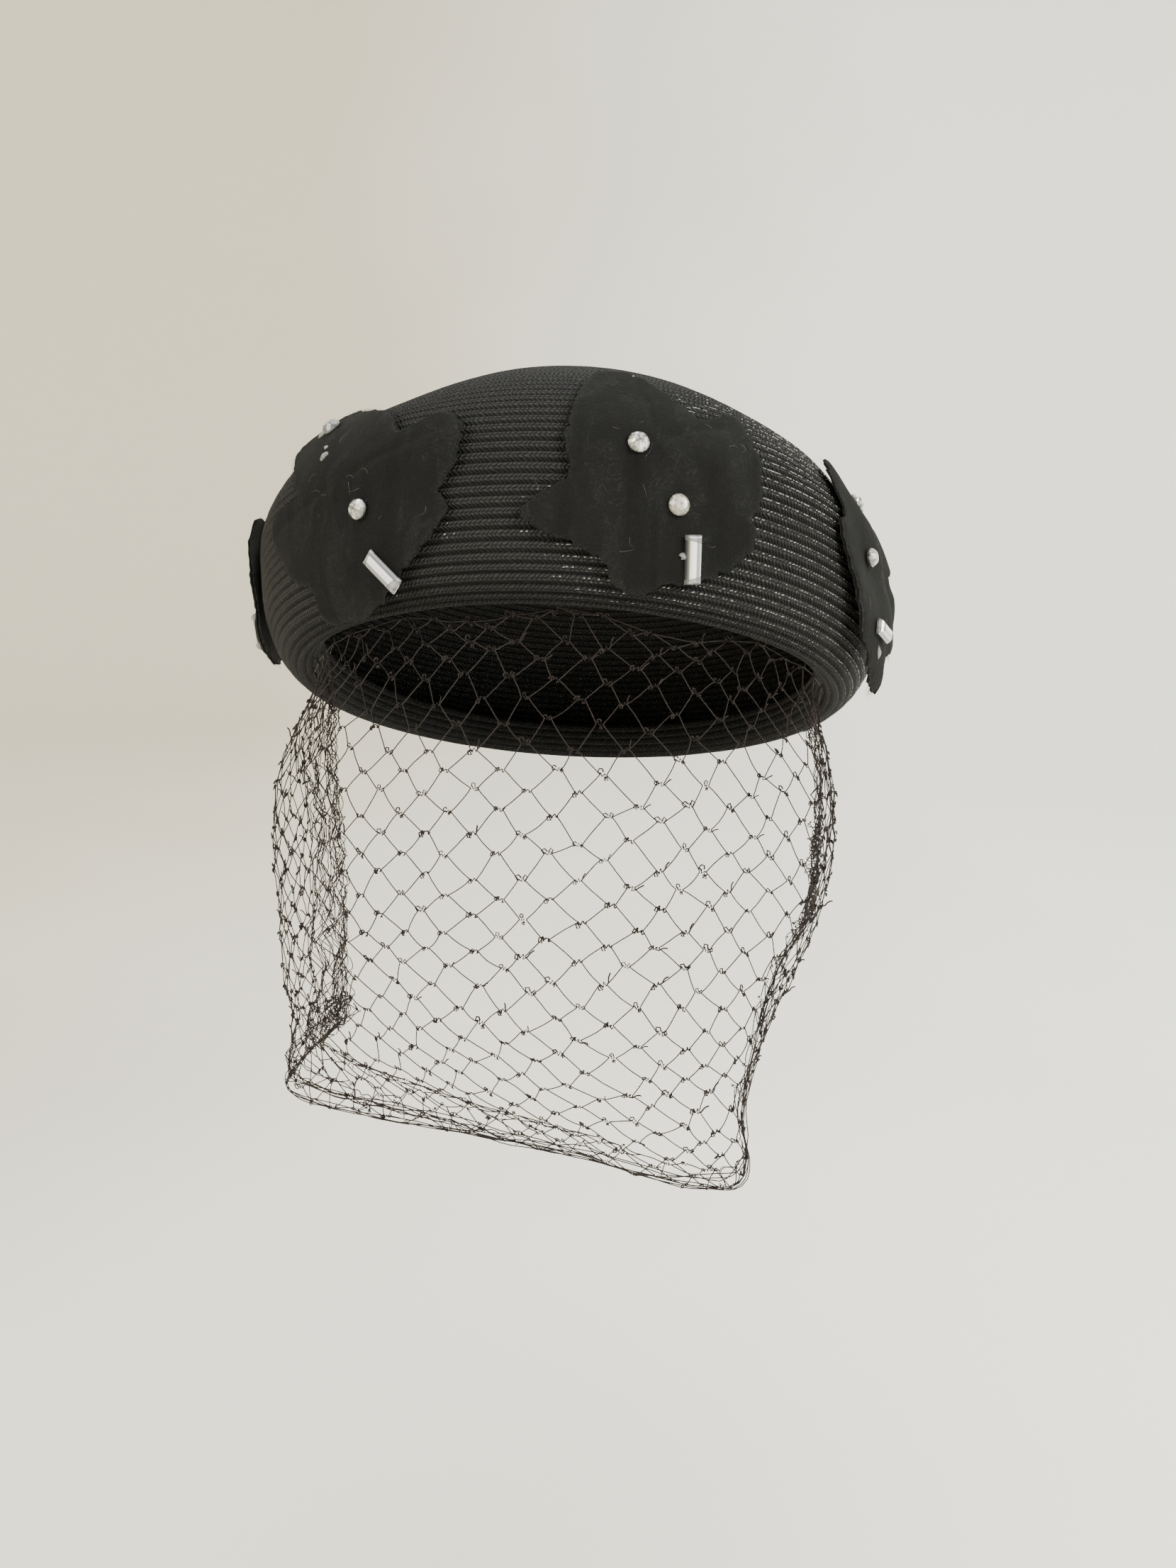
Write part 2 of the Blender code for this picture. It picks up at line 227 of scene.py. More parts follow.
def addMesh(name, points, faces, materials, uv=None, edges=()):
    mesh = bpy.data.meshes.new(name)
    mesh.from_pydata(np.asarray(points, float).tolist(), list(edges), faces)
    for material in materials:
        mesh.materials.append(material)
    if uv is not None:
        layer = mesh.uv_layers.new(name="lay")
        layer.data.foreach_set("uv", np.asarray(uv, np.float32).ravel())
    mesh.shade_smooth()
    piece = bpy.data.objects.new(name, mesh)
    scene.collection.objects.link(piece)
    return piece


def fan(count):
    # triangles from the first point to the ring after it
    return [(0, 1 + k, 1 + (k + 1) % count) for k in range(count)]


def outwardBand(low, high, count):
    # quads between two closed rings of points, given by the first point of each
    return [(low + k, low + (k + 1) % count, high + (k + 1) % count, high + k)
            for k in range(count)]


def inwardBand(low, high, count):
    return [(low + k, high + k, high + (k + 1) % count, low + (k + 1) % count)
            for k in range(count)]


def chains(count, steps, first=0):
    # edges that join points in a row, for count rows of points after the first
    return [(first + k * steps + i, first + k * steps + i + 1)
            for k in range(count) for i in range(steps - 1)]


def addField(piece, name, *parts):
    # a number or a vector for each point, given in one or more runs
    values = np.concatenate(parts)
    kind, key = ("FLOAT", "value") if values.ndim == 1 else ("FLOAT_VECTOR", "vector")
    field = piece.data.attributes.new(name, kind, "POINT")
    field.data.foreach_set(key, values.astype(np.float32).ravel())


# The crown's sizes, the same as the solids'
crown = {
    "width": 0.1846,
    "length": 0.2190,
    "height": 0.0845,
    "wall": 0.0020,
    "tilt": 22,             # degrees, the front is worn higher
    "openWidth": 0.1460,
    "openLength": 0.1840,
    # reach as a share of the half width, rise as a share of the height, top to widest row
    "top": ((0.00, 1.000), (0.20, 0.985), (0.38, 0.945), (0.52, 0.885), (0.66, 0.815),
            (0.78, 0.740), (0.88, 0.650), (0.96, 0.530), (1.00, 0.410)),
    # reach from 1 at the widest row to 0 at the head opening
    "rim": ((0.97, 0.290), (0.86, 0.160), (0.64, 0.055), (0.36, 0.000), (0.14, 0.010),
            (0.02, 0.060), (0.00, 0.130)),
    "rowPitch": 0.00250,    # from one sewn row of braid to the next
    "ribHeight": 0.00074,
    "waver": 0.00026,       # how far a row strays
    "dents": 0.00070,       # small hand-blocked hollows
    "sides": 168,
    # flats and swells left by the block: turn, run, how wide in each, and the lift in metres
    "blocked": ((-37, 0.46, 13, 0.10, -0.0024), (39, 0.44, 13, 0.10, -0.0024),
                (2, 0.36, 26, 0.10, 0.0014), (62, 0.60, 20, 0.13, -0.0032),
                (-66, 0.50, 18, 0.10, -0.0012), (150, 0.45, 30, 0.12, -0.0012)),
}


def curveBetween(before, start, end, after, t):
    # from start to end, bending as the points before and after ask
    return 0.5 * (2 * start + (end - before) * t
                  + (2 * before - 5 * start + 4 * end - after) * t ** 2
                  + (3 * start - before - 3 * end + after) * t ** 3)


def smoothPath(points, share):
    # points at shares of the length of a smooth curve through the given ones
    points = np.asarray(points, float)
    share = np.atleast_1d(np.asarray(share, float))
    steps = np.linalg.norm(np.diff(points, axis=0), axis=1)
    lengths = np.concatenate([[0.0], np.cumsum(steps)])
    place = share * lengths[-1]
    k = np.clip(np.searchsorted(lengths, place, side="right") - 1, 0, len(points) - 2)
    ends = np.concatenate([[2 * points[0] - points[1]], points, [2 * points[-1] - points[-2]]])
    t = ((place - lengths[k]) / steps[k])[:, None]
    return curveBetween(ends[k], ends[k + 1], ends[k + 2], ends[k + 3], t)


def braidRun():
    # half width, height and extra half length of the braid, from the top to the lip
    run = [(reach * crown["width"] / 2, rise * crown["height"],
            reach * (crown["length"] - crown["width"]) / 2) for reach, rise in crown["top"]]
    for reach, rise in crown["rim"]:
        halfWidth = (crown["openWidth"] + reach * (crown["width"] - crown["openWidth"])) / 2
        halfLength = (crown["openLength"] + reach * (crown["length"] - crown["openLength"])) / 2
        run.append((halfWidth, rise * crown["height"], halfLength - halfWidth))
    return np.array(run)


braidLine = braidRun()
runLength = np.linalg.norm(np.diff(braidLine, axis=0), axis=1).sum()
crown["rows"] = round(runLength / crown["rowPitch"])


def unit(vectors):
    return vectors / np.maximum(np.linalg.norm(vectors, axis=-1, keepdims=True), 1e-12)


def crownAt(angle, run):
    halfWidth, height, longer = smoothPath(braidLine, run).T
    x = halfWidth * np.sin(angle)
    y = -(halfWidth + longer) * np.cos(angle)
    tilt = math.radians(crown["tilt"])
    return np.stack([x, y * math.cos(tilt) + height * math.sin(tilt),
                     height * math.cos(tilt) - y * math.sin(tilt)], axis=1)


def crownFrame(turn, run):
    # point, way round, way up and outward normal, for arrays of turns in degrees and runs
    turn, run = np.broadcast_arrays(np.atleast_1d(turn).astype(float),
                                    np.atleast_1d(run).astype(float))
    angle = np.radians(turn)
    step = 0.002
    beside = np.maximum(run, step)
    across = unit(crownAt(angle + step, beside) - crownAt(angle - step, beside))
    up = unit(crownAt(angle, run - step) - crownAt(angle, run + step))
    normal = unit(np.cross(across, up))
    lift = 0
    for place, depth, wide, deep, rise in crown["blocked"]:
        gap = (turn - place + 180) % 360 - 180
        lift = lift + rise * np.exp(-(gap / wide) ** 2 - ((run - depth) / deep) ** 2)
    point = crownAt(angle, run) + normal * lift[:, None]
    return point, across, unit(np.cross(normal, across)), normal


def crownPoint(turn, run, lift):
    point, _, _, normal = crownFrame(turn, run)
    return point + np.broadcast_to(np.atleast_1d(lift), len(point))[:, None] * normal


def braidMaterial():
    # plaited viscose: chevrons of small grains along each sewn row, glossy on the ridges
    material, g, out = newMaterial("black_braid", Coat_Roughness=0.12, Specular_IOR_Level=0.07)
    along, row = g.lay()
    rowNumber = row.do("FLOOR")
    across = row.do("FRACT")
    grain = 0.00115             # length of one plait along the row
    offset = g.chance(rowNumber)
    where = g.onPiece()
    uneven = g.noise(where, 330.0, 1.0)
    chevron = (across - 0.5).do("ABSOLUTE")
    phase = along * (1 / grain) + offset * 7.0 - chevron * 2.2 + uneven * 1.6
    cell = phase.do("FRACT")
    plait = (cell * math.pi).do("SINE") ** 0.8
    # across each row, high on the ridges and low in the grooves: painted light and shade for the
    # colour below
    paintedRowShading = g.add("ShaderNodeFloatCurve", {"curve": (
        (0.00, 0.04), (0.12, 0.72), (0.22, 1.00), (0.36, 0.34), (0.50, 0.86), (0.68, 0.16),
        (1.00, 0.02))}, {"Value": across})
    drawn = g.add("ShaderNodeCombineXYZ", None, {0: along * 900.0, 1: row * 14.0, 2: offset * 9.0})
    fibre = g.noise(drawn, 1.0, 2.0)
    g.feed(out["Normal"], g.bump(1.0, 0.00062, plait * 0.9 + fibre * 0.45))
    # glints: specks on the two ridges, thickest where the window lights the right side
    fleckLength = 0.00056
    fleck = along * (1 / fleckLength) + uneven * 3.0 + offset * 5.0
    spark = g.chance(fleck.do("FLOOR") + rowNumber * 61.0)
    high = ((across - 0.17 - uneven * 0.1).do("ABSOLUTE") < 0.050) * (spark > 0.46)
    low = ((across - 0.45 - uneven * 0.1).do("ABSOLUTE") < 0.040) * (spark < 0.22)
    patch = g.noise(where, 15.0, 3.0)
    rightward, _ = g.split(where)
    outside = g.add("ShaderNodeAttribute", {"attribute_name": "outside"}, out=2)
    # the lowest rows turn under: matt there and darkened as painted shade, with dots instead of
    # dashes above them
    turned = ((row / crown["rows"] - 0.855) * 16.0).do("MAXIMUM", 0.0).do("MINIMUM", 1.0)
    dots = (cell > 0.5).do("MAXIMUM", row < 0.72 * crown["rows"])
    # the share of flecks that catch the light fades in and out instead of stopping at a line
    caught = (patch + rightward.do("MAXIMUM", -0.045) * 2.8
              + (row > 0.74 * crown["rows"]) * 0.16 - 0.57) * 7.0
    chosen = g.chance(fleck.do("FLOOR") * 1.7 + rowNumber * 23.0)
    glint = (high.do("MAXIMUM", low) * (fleck.do("FRACT") > 0.25) * dots * (1 - turned)
             * (chosen < caught) * outside)
    # painted shade: the colour darker in the plait valleys and in the grooves between rows, lighter
    # on the ridges
    shade = g.blend((plait * 0.6 + 0.3) * paintedRowShading, (0.0095, 0.0097, 0.0094),
                    (0.0400, 0.0406, 0.0396))
    # fibre streaks, lighter on the ridges: the fibres' own tone, weighted as painted highlight on
    # the ridges
    fibreAndPaintedLight = g.blend(fibre * paintedRowShading * 0.35, shade, (0.040, 0.0402, 0.0395))
    # painted shade: the turned-under rows darkened on the outside
    fibreAndPaintedLight = g.blend(turned * 0.6 * outside, fibreAndPaintedLight, (0.006, 0.006, 0.006))
    # painted highlights: the glint specks also painted pale into the base colour, besides their
    # gloss and coat
    g.feed(out["Base Color"], g.blend(glint * (spark * 0.8 + 0.1), fibreAndPaintedLight,
                                      (0.56, 0.565, 0.56)))
    g.feed(out["Roughness"], 0.60 + fibre * 0.18 - glint * 0.44)
    g.feed(out["Coat Weight"], glint)
    return material


def braidTree():
    # ribs of the sewn rows, with the small wander and dents of hand blocking
    g, given = newTree("sewnRows", {"Rib height": "Float", "Waver": "Float", "Dents": "Float",
                                    "Braid": "Material"})
    row = g.attribute("rowPlace")
    relief = g.attribute("relief")
    outward = g.attribute("outward", "FLOAT_VECTOR")
    rib = g.add("ShaderNodeFloatCurve", {"curve": (
        (0.00, 0.00), (0.10, 0.70), (0.22, 1.00), (0.36, 0.66), (0.50, 0.86), (0.72, 0.42),
        (1.00, 0.00))}, {"Value": row.do("FRACT")})
    where = g.add("GeometryNodeInputPosition")
    fine = g.noise(where, 70.0, 1.0)
    broad = g.noise(where, 14.0, 0.0)
    lift = ((rib - 0.62) * relief * given["Rib height"] + (fine - 0.5) * given["Waver"]
            + (broad - 0.5) * given["Dents"])
    return endTree(g, g.move(given["Geometry"], outward, lift), given["Braid"])


def buildCrown():
    rows = crown["rows"]
    sides = crown["sides"]
    places = (0.0, 0.10, 0.22, 0.36, 0.50, 0.72)
    outerRows = np.array([row + f for row in range(rows) for f in places][1:] + [rows])
    innerRows = np.array([row + f for row in range(rows) for f in (0.0, 0.5)][1:] + [rows])
    turns = 180 + 360 * np.arange(sides) / sides

    def layer(rowPlaces, lift):
        turn, run = np.meshgrid(turns, rowPlaces / rows)
        point, _, _, normal = crownFrame(turn.ravel(), run.ravel())
        pole, _, _, up = crownFrame(0, 0)
        return (np.concatenate([pole + up * lift, point + normal * lift]),
                np.concatenate([up, normal]),
                np.concatenate([[0.0], np.repeat(rowPlaces, sides)]))

    outer, outerUp, outerRow = layer(outerRows, 0.0)
    inner, innerUp, innerRow = layer(innerRows, -crown["wall"])
    centres = (np.arange(rows) + 0.5) / rows
    turn, run = np.meshgrid(180 + 360 * np.arange(sides + 1) / sides, centres)
    ringPoints = crownAt(np.radians(turn.ravel()), run.ravel()).reshape(rows, sides + 1, 3)
    steps = np.linalg.norm(np.diff(ringPoints, axis=1), axis=2)
    along = np.concatenate([np.zeros((rows, 1)), np.cumsum(steps, axis=1)], axis=1)

    faces, uv = [], []

    def skin(rowPlaces, start, outside):
        levels = [0.0, *rowPlaces]
        for ring in range(len(rowPlaces)):
            low, high = levels[ring], levels[ring + 1]
            band = min(int((low + high) / 2), rows - 1)
            for side in range(sides):
                beside = (side + 1) % sides
                u0, u1 = along[band, side], along[band, side + 1]
                below = start + 1 + ring * sides
                above = below - sides
                corners = [(above + side, u0, low), (below + side, u0, high),
                           (below + beside, u1, high), (above + beside, u1, low)]
                if ring == 0:
                    corners = [(start, u0, low), *corners[1:3]]
                if not outside:
                    corners.reverse()
                faces.append(tuple(corner[0] for corner in corners))
                uv.extend(corner[1:] for corner in corners)

    skin(outerRows, 0, True)
    skin(innerRows, len(outer), False)
    outerLip = 1 + (len(outerRows) - 1) * sides
    innerLip = len(outer) + 1 + (len(innerRows) - 1) * sides
    for side in range(sides):
        beside = (side + 1) % sides
        faces.append((outerLip + side, innerLip + side, innerLip + beside, outerLip + beside))
        u0, u1 = along[-1, side], along[-1, side + 1]
        uv.extend([(u0, rows), (u0, rows + 0.5), (u1, rows + 0.5), (u1, rows)])
    piece = addMesh("braid_crown", np.concatenate([outer, inner]), faces, [], uv)
    addField(piece, "outward", outerUp, innerUp)
    addField(piece, "rowPlace", outerRow, innerRow)
    addField(piece, "relief", np.ones(len(outer)), np.full(len(inner), -0.5))
    addField(piece, "outside", np.ones(len(outer)), np.zeros(len(inner)))
    runTree(piece, braidTree(), {"Rib height": crown["ribHeight"], "Waver": crown["waver"],
                                 "Dents": crown["dents"], "Braid": braidMaterial()})
    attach(piece, "root")
    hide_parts("crown")
    return piece


crownPiece = buildCrown()
print("crown sewn:", len(crownPiece.data.polygons), "faces")

# The velvet leaves: patterns as shares of their reach, places and stones as on the solids
leaves = {
    "reach": 0.0345,
    "thick": 0.0012,
    "gap": 0.0009,
    "edgeStep": 0.0014,         # spacing of points on the cut edge
    "rings": 20,
    "frill": 0.00042,           # how ragged the cut edge is
    "frayed": {"leaf_2": 1.7, "leaf_6": 1.7},   # how many times more on some leaves
    "ripple": 0.00045,          # soft cockles of the velvet
    "lifted": 0.0011,           # how far stretches of the edge stand off
    "crowding": 1.35,           # how much the rings crowd towards the edge
    "rounding": 0.035,          # share of the reach over which the edge thins out
    "creaseDepth": 0.00030,
    "creaseWidth": 0.0011,
    "cockleWave": 260,          # radians per metre, as are the next two
    "frillWave": 1800,
    "liftWave": 190,
    "patterns": {
        "upright": (
            (-0.14, 0.83), (0.06, 0.69), (0.19, 0.53), (0.36, 0.42), (0.64, 0.56), (0.72, 0.36),
            (0.78, 0.11), (0.78, -0.11), (0.72, -0.22), (0.78, -0.33), (0.69, -0.50),
            (0.42, -0.67), (0.17, -0.72), (0.06, -0.81), (-0.19, -0.75), (-0.28, -0.61),
            (-0.72, -0.44), (-0.81, -0.31), (-0.53, -0.11), (-0.56, 0.11), (-0.50, 0.50),
            (-0.36, 0.78),
        ),
        "spread": (
            (-0.42, 0.86), (0.00, 0.68), (0.31, 0.50), (0.44, 0.33), (0.81, 0.42), (0.94, 0.22),
            (0.89, 0.03), (0.78, -0.11), (0.86, -0.22), (0.72, -0.39), (0.50, -0.56),
            (0.22, -0.75), (-0.22, -0.83), (-0.50, -0.78), (-0.47, -0.58), (-0.72, -0.44),
            (-1.00, -0.08), (-0.83, 0.06), (-0.58, 0.08), (-0.67, 0.25), (-0.86, 0.53),
            (-0.69, 0.76),
        ),
    },
    # name: pattern, turn, run, spin, side, curl, hang
    "places": {
        "leaf_1": ("upright", 10.8, 0.713, 0, 1, 0.01, 0.00),
        "leaf_2": ("spread", 61, 0.700, 12, -1, 0.02, 0.24),
        "leaf_3": ("upright", 114, 0.70, -10, -1, 0.01, 0.04),
        "leaf_4": ("spread", 166, 0.69, 8, 1, 0.02, 0.04),
        "leaf_5": ("upright", -142, 0.70, 6, 1, 0.01, 0.04),
        "leaf_6": ("spread", -90, 0.68, -8, -1, 0.02, 0.05),
        "leaf_7": ("spread", -34.5, 0.728, 0, 1, 0.02, 0.04),
    },
    # pressed creases of each pattern, from one place to another
    "creases": {
        "upright": (((-0.70, -0.20), (0.62, 0.44)), ((-0.10, 0.78), (0.05, 0.05))),
        "spread": (((-0.92, -0.10), (0.10, 0.12)), ((0.10, 0.12), (0.86, 0.30)),
                   ((-0.40, 0.80), (-0.05, 0.05))),
    },
}

# Stones of each leaf: upper round, lower round, and the baguette with the way it points
stones = {
    "gap": 0.0003,
    "roundWidth": 0.0050,
    "roundHeight": 0.0019,
    "barWidth": 0.0040,
    "barLength": 0.0110,
    "barHeight": 0.0021,
    "girdle": 0.0006,
    # rings of each cut from the foil up: points and reach, or inset; height as a share of the
    # girdle and of what is above it; and for the round one its turn
    "roundCut": ((16, 0.97, 0.0, 0.0, 0.0), (16, 1.0, 0.35, 0.0, 0.0), (16, 1.0, 1.0, 0.0, 0.0),
                 (8, 0.80, 1.0, 0.62, 0.5), (8, 0.56, 1.0, 1.0, 0.0)),
    "barCut": ((0.03, 0.0, 0.0), (0.0, 0.3, 0.0), (0.0, 1.0, 0.0), (0.08, 1.0, 0.45),
               (0.18, 1.0, 0.80), (0.28, 1.0, 1.0)),
    "places": {
        "leaf_1": ((-0.10, 0.12), (0.19, -0.23), (0.33, -0.54, -10)),
        "leaf_2": ((-0.16, 0.68), (0.30, -0.20), (-0.10, -0.56, 75)),
        "leaf_3": ((-0.10, 0.34), (0.12, -0.14), (0.22, -0.50, 20)),
        "leaf_4": ((-0.34, 0.62), (0.12, -0.12), (0.20, -0.50, -25)),
        "leaf_5": ((-0.10, 0.30), (0.16, -0.18), (0.20, -0.54, -12)),
        "leaf_6": ((-0.34, 0.60), (0.14, -0.14), (-0.14, -0.60, 30)),
        "leaf_7": ((-0.40, 0.60), (0.14, -0.16), (0.32, -0.57, 138)),
    },
}


def leafPoint(name, across, up, extra=0.0):
    # places of a leaf's pattern, in metres, laid on the crown
    _, leafTurn, leafRun, spin, side, curl, hang = leaves["places"][name]
    across, up = np.atleast_1d(across).astype(float), np.atleast_1d(up).astype(float)
    tip = math.radians(spin)
    roundWay = side * across * math.cos(tip) + up * math.sin(tip)
    upWay = up * math.cos(tip) - side * across * math.sin(tip)
    halfWidth, _, longer = smoothPath(braidLine, leafRun)[0]
    angle = math.radians(leafTurn)
    localRadius = math.hypot(halfWidth * math.cos(angle), (halfWidth + longer) * math.sin(angle))
    edge = np.hypot(across, up) / leaves["reach"]
    below = np.maximum(-upWay / leaves["reach"], 0)
    lift = leaves["gap"] + leaves["reach"] * (curl * edge ** 3 + hang * below ** 2)
    return crownPoint(leafTurn + np.degrees(roundWay / localRadius),
                      leafRun - upWay / runLength, lift + extra)


def leafOutline(pattern):
    lobes = np.array(leaves["patterns"][pattern]) * leaves["reach"]
    count = len(lobes)
    outline = []
    for k in range(count):
        around = [lobes[(k + i) % count] for i in (-1, 0, 1, 2)]
        parts = max(2, math.ceil(np.linalg.norm(around[2] - around[1]) / leaves["edgeStep"]))
        outline += [curveBetween(*around, t) for t in np.arange(parts) / parts]
    return np.array(outline)


def velvetMaterial():
    # short black pile with brushed streaks, rubbed greyer on the cockles and along the edge
    material, g, out = newMaterial("black_velvet", Roughness=0.95, Sheen_Weight=0.035,
                                   Sheen_Roughness=0.40, Sheen_Tint=(0.60, 0.62, 0.60, 1),
                                   Specular_IOR_Level=0.05)
    where = g.onPiece()
    pile = g.noise(where, 2600.0, 2.0)
    upright = g.add("ShaderNodeVectorMath", {"operation": "MULTIPLY"},
                    {0: where, 1: (1.0, 1.0, 0.28)})
    brushed = g.noise(upright, 150.0, 5.0, {"Distortion": 0.6})
    scuff = g.noise(where, 210.0, 3.0, {"Roughness": 0.7, "Distortion": 2.2})
    thread = 1 - ((scuff - 0.5).do("ABSOLUTE") * 60.0).do("MINIMUM", 1.0)
    edge = g.add("ShaderNodeAttribute", {"attribute_name": "worn"}, out=2)
    g.feed(out["Normal"], g.bump(0.9, 0.00035, pile + brushed * 1.6))
    shade = g.blend(brushed, (0.0052, 0.0054, 0.0052), (0.0125, 0.0129, 0.0124))
    rubbed = thread * (brushed > 0.54) * (pile * 0.7) + edge * (pile > 0.50) * 0.22
    g.feed(out["Base Color"], g.blend(rubbed, shade, (0.040, 0.0405, 0.040)))
    return material


def backingMaterial():
    material, g, out = newMaterial("leaf_backing", Roughness=0.6)
    where = g.onPiece()
    size = g.noise(where, 220.0, 3.0)
    g.feed(out["Base Color"], g.blend(size, (0.05, 0.05, 0.048), (0.22, 0.22, 0.21)))
    g.feed(out["Normal"], g.bump(0.5, 0.0003, size))
    return material


velvet = velvetMaterial()
backing = backingMaterial()


def wave(points, scale, seed):
    # smooth noise from -1 to 1, from a few crossed waves
    rng = np.random.default_rng(seed)
    total = 0
    for _ in range(5):
        way = unit(rng.normal(size=points.shape[1]))
        total = total + np.sin(points @ way * scale * rng.uniform(0.6, 1.6)
                               + rng.uniform(0, 2 * math.pi))
    return total / 3


def leafRise(name, flat):
    # thickness above the backing: cockles, pressed creases and an edge that thins out
    pattern = leaves["places"][name][0]
    seed = int(name[-1])
    rise = leaves["thick"] + leaves["ripple"] * wave(flat, leaves["cockleWave"], seed)
    for start, end in leaves["creases"][pattern]:
        start, end = (np.array(p) * leaves["reach"] for p in (start, end))
        way = end - start
        t = np.clip((flat - start) @ way / (way @ way), 0, 1)
        gap = np.linalg.norm(flat - start - t[:, None] * way, axis=1)
        rise = rise - leaves["creaseDepth"] * np.exp(-(gap / leaves["creaseWidth"]) ** 2)
    return rise


def buildLeaf(name):
    pattern, side = leaves["places"][name][0], leaves["places"][name][4]
    seed = int(name[-1])
    smooth = leafOutline(pattern)
    count = len(smooth)
    rng = np.random.default_rng(40 + seed)
    frill = leaves["frill"] * leaves["frayed"].get(name, 1.0)
    fray = rng.uniform(-1, 1, count) + wave(smooth, leaves["frillWave"], seed)
    outline = smooth + unit(smooth) * frill * fray[:, None]
    shares = 1 - (1 - np.arange(1, leaves["rings"] + 1) / leaves["rings"]) ** leaves["crowding"]
    flat = np.concatenate([[[0.0, 0.0]]] + [share * outline for share in shares])
    full = [min(1, ((1 - share) / leaves["rounding"]) ** 0.5) if share < 1 else 0.35
            for share in shares]
    crest = np.concatenate([[1.0], np.repeat(full, count)])
    rise = leafRise(name, flat)
    curl = leaves["lifted"] * np.maximum(wave(flat, leaves["liftWave"], 20 + seed), 0) * (
        np.linalg.norm(flat, axis=1) / leaves["reach"]) ** 3
    over = leafPoint(name, *flat.T, extra=curl + rise * (0.45 + 0.55 * crest))
    under = leafPoint(name, *flat.T, extra=curl + 0.0001)
    total = len(flat)
    faces = []
    for k in range(count):
        n = (k + 1) % count
        faces.append((0, 1 + n, 1 + k))
        for ring in range(leaves["rings"] - 1):
            low, high = 1 + ring * count, 1 + (ring + 1) * count
            faces.append((low + k, low + n, high + n, high + k))
    if side < 0:
        faces = [tuple(reversed(face)) for face in faces]
    slots = [0] * len(faces) + [1] * len(faces)
    faces += [tuple(i + total for i in reversed(face)) for face in faces]
    last = 1 + (leaves["rings"] - 1) * count
    for k in range(count):
        a, b = last + k, last + (k + 1) % count
        edge = (a, b, b + total, a + total) if side < 0 else (b, a, a + total, b + total)
        faces.append(edge)
        slots.append(0)
    piece = addMesh(f"{name}_velvet", np.concatenate([over, under]), faces, [velvet, backing])
    piece.data.polygons.foreach_set("material_index", slots)
    worn = np.concatenate([[0.0], np.repeat(np.clip((shares - 0.93) / 0.07, 0, 1), count)])
    addField(piece, "worn", worn, worn)
    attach(piece, "root")
    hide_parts(name)
    return piece


leafPieces = [buildLeaf(name) for name in leaves["places"]]
print("leaves cut:", sum(len(piece.data.polygons) for piece in leafPieces), "faces")

# Loose fibres: how many on each leaf and along its edge, and their sizes in metres
fluff = {"lint": 13, "lintLength": 0.0040, "lintRadius": 0.000022, "napStep": 0.00055,
         "napLength": 0.00085, "napRadius": 0.000040}


def fibreTree():
    # short bent hairs: each edge path of the input becomes a thin tube that tapers off
    g, given = newTree("fibres", {"Radius": "Float", "Fibre": "Material"})
    curves = g.add("GeometryNodeMeshToCurve", None, {"Mesh": given["Geometry"]})
    place = g.add("GeometryNodeSplineParameter")
    taper = g.add("GeometryNodeSetCurveRadius", None,
                  {"Curve": curves, "Radius": 1.0 - place * 0.75})
    tubes = g.tube(taper, 3, given["Radius"], {"Scale": 1.0 - place * 0.75})
    return endTree(g, tubes, given["Fibre"])


def addFibres(name, paths, radius, material):
    # all paths have the same number of points
    paths = np.asarray(paths)
    count, steps = paths.shape[:2]
    piece = addMesh(name, paths.reshape(-1, 3), [], [material], edges=chains(count, steps))
    runTree(piece, fibreTree(), {"Radius": radius, "Fibre": material})
    piece.data.shade_smooth()
    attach(piece, "root")
    return piece


def buildFluff():
    lint, nap = [], []
    t = np.linspace(0, 1, 6)
    for name, (pattern, *_) in leaves["places"].items():
        rng = np.random.default_rng(60 + int(name[-1]))
        outline = leafOutline(pattern)
        for _ in range(fluff["lint"]):
            middle = outline[rng.integers(len(outline))] * rng.uniform(0.1, 0.97)
            way, bend = rng.uniform(0, math.tau), rng.normal(0, 1.6)
            length = fluff["lintLength"] * rng.uniform(0.25, 1.0)
            turn = way + bend * t
            path = middle + np.cumsum(np.stack([np.cos(turn), np.sin(turn)], 1), 0) * length / 5
            rise = leafRise(name, path) + 0.00012 + 0.0004 * rng.random() * np.sin(math.pi * t)
            lint.append(leafPoint(name, *path.T, extra=rise))
        steps = np.linalg.norm(np.roll(outline, -1, 0) - outline, axis=1)
        for k in range(len(outline)):
            for _ in range(max(1, round(steps[k] / fluff["napStep"]))):
                start = outline[k] + rng.random() * (outline[(k + 1) % len(outline)] - outline[k])
                out = unit(start) + rng.normal(0, 0.55, 2)
                path = start + np.array([0, 0.5, 1.0])[:, None] * out * (
                    fluff["napLength"] * rng.uniform(0.4, 1.1))
                rise = leaves["thick"] * 0.75 + np.array([0, 0.5, 1.0]) * rng.normal(0, 0.0004)
                nap.append(leafPoint(name, *path.T, extra=rise))
    pale, _, _ = newMaterial("pale_lint", Base_Color=(0.16, 0.16, 0.15, 1), Roughness=0.8)
    addFibres("leaf_lint", lint, fluff["lintRadius"], pale)
    addFibres("leaf_nap", nap, fluff["napRadius"], velvet)


buildFluff()
print("leaves napped")


def stoneFrame(name, across, up):
    step = leaves["reach"] / 30
    side = leaves["places"][name][4]
    origin = leafPoint(name, across, up, leaves["thick"] + stones["gap"])[0]
    right = unit(leafPoint(name, across + step, up) - leafPoint(name, across - step, up))[0] * side
    above = (leafPoint(name, across, up + step) - leafPoint(name, across, up - step))[0]
    normal = unit(np.cross(right, above))
    above = np.cross(normal, right)
    return (Matrix.Translation(Vector(origin))
            @ Matrix([Vector(right), Vector(above), Vector(normal)]).transposed().to_4x4())


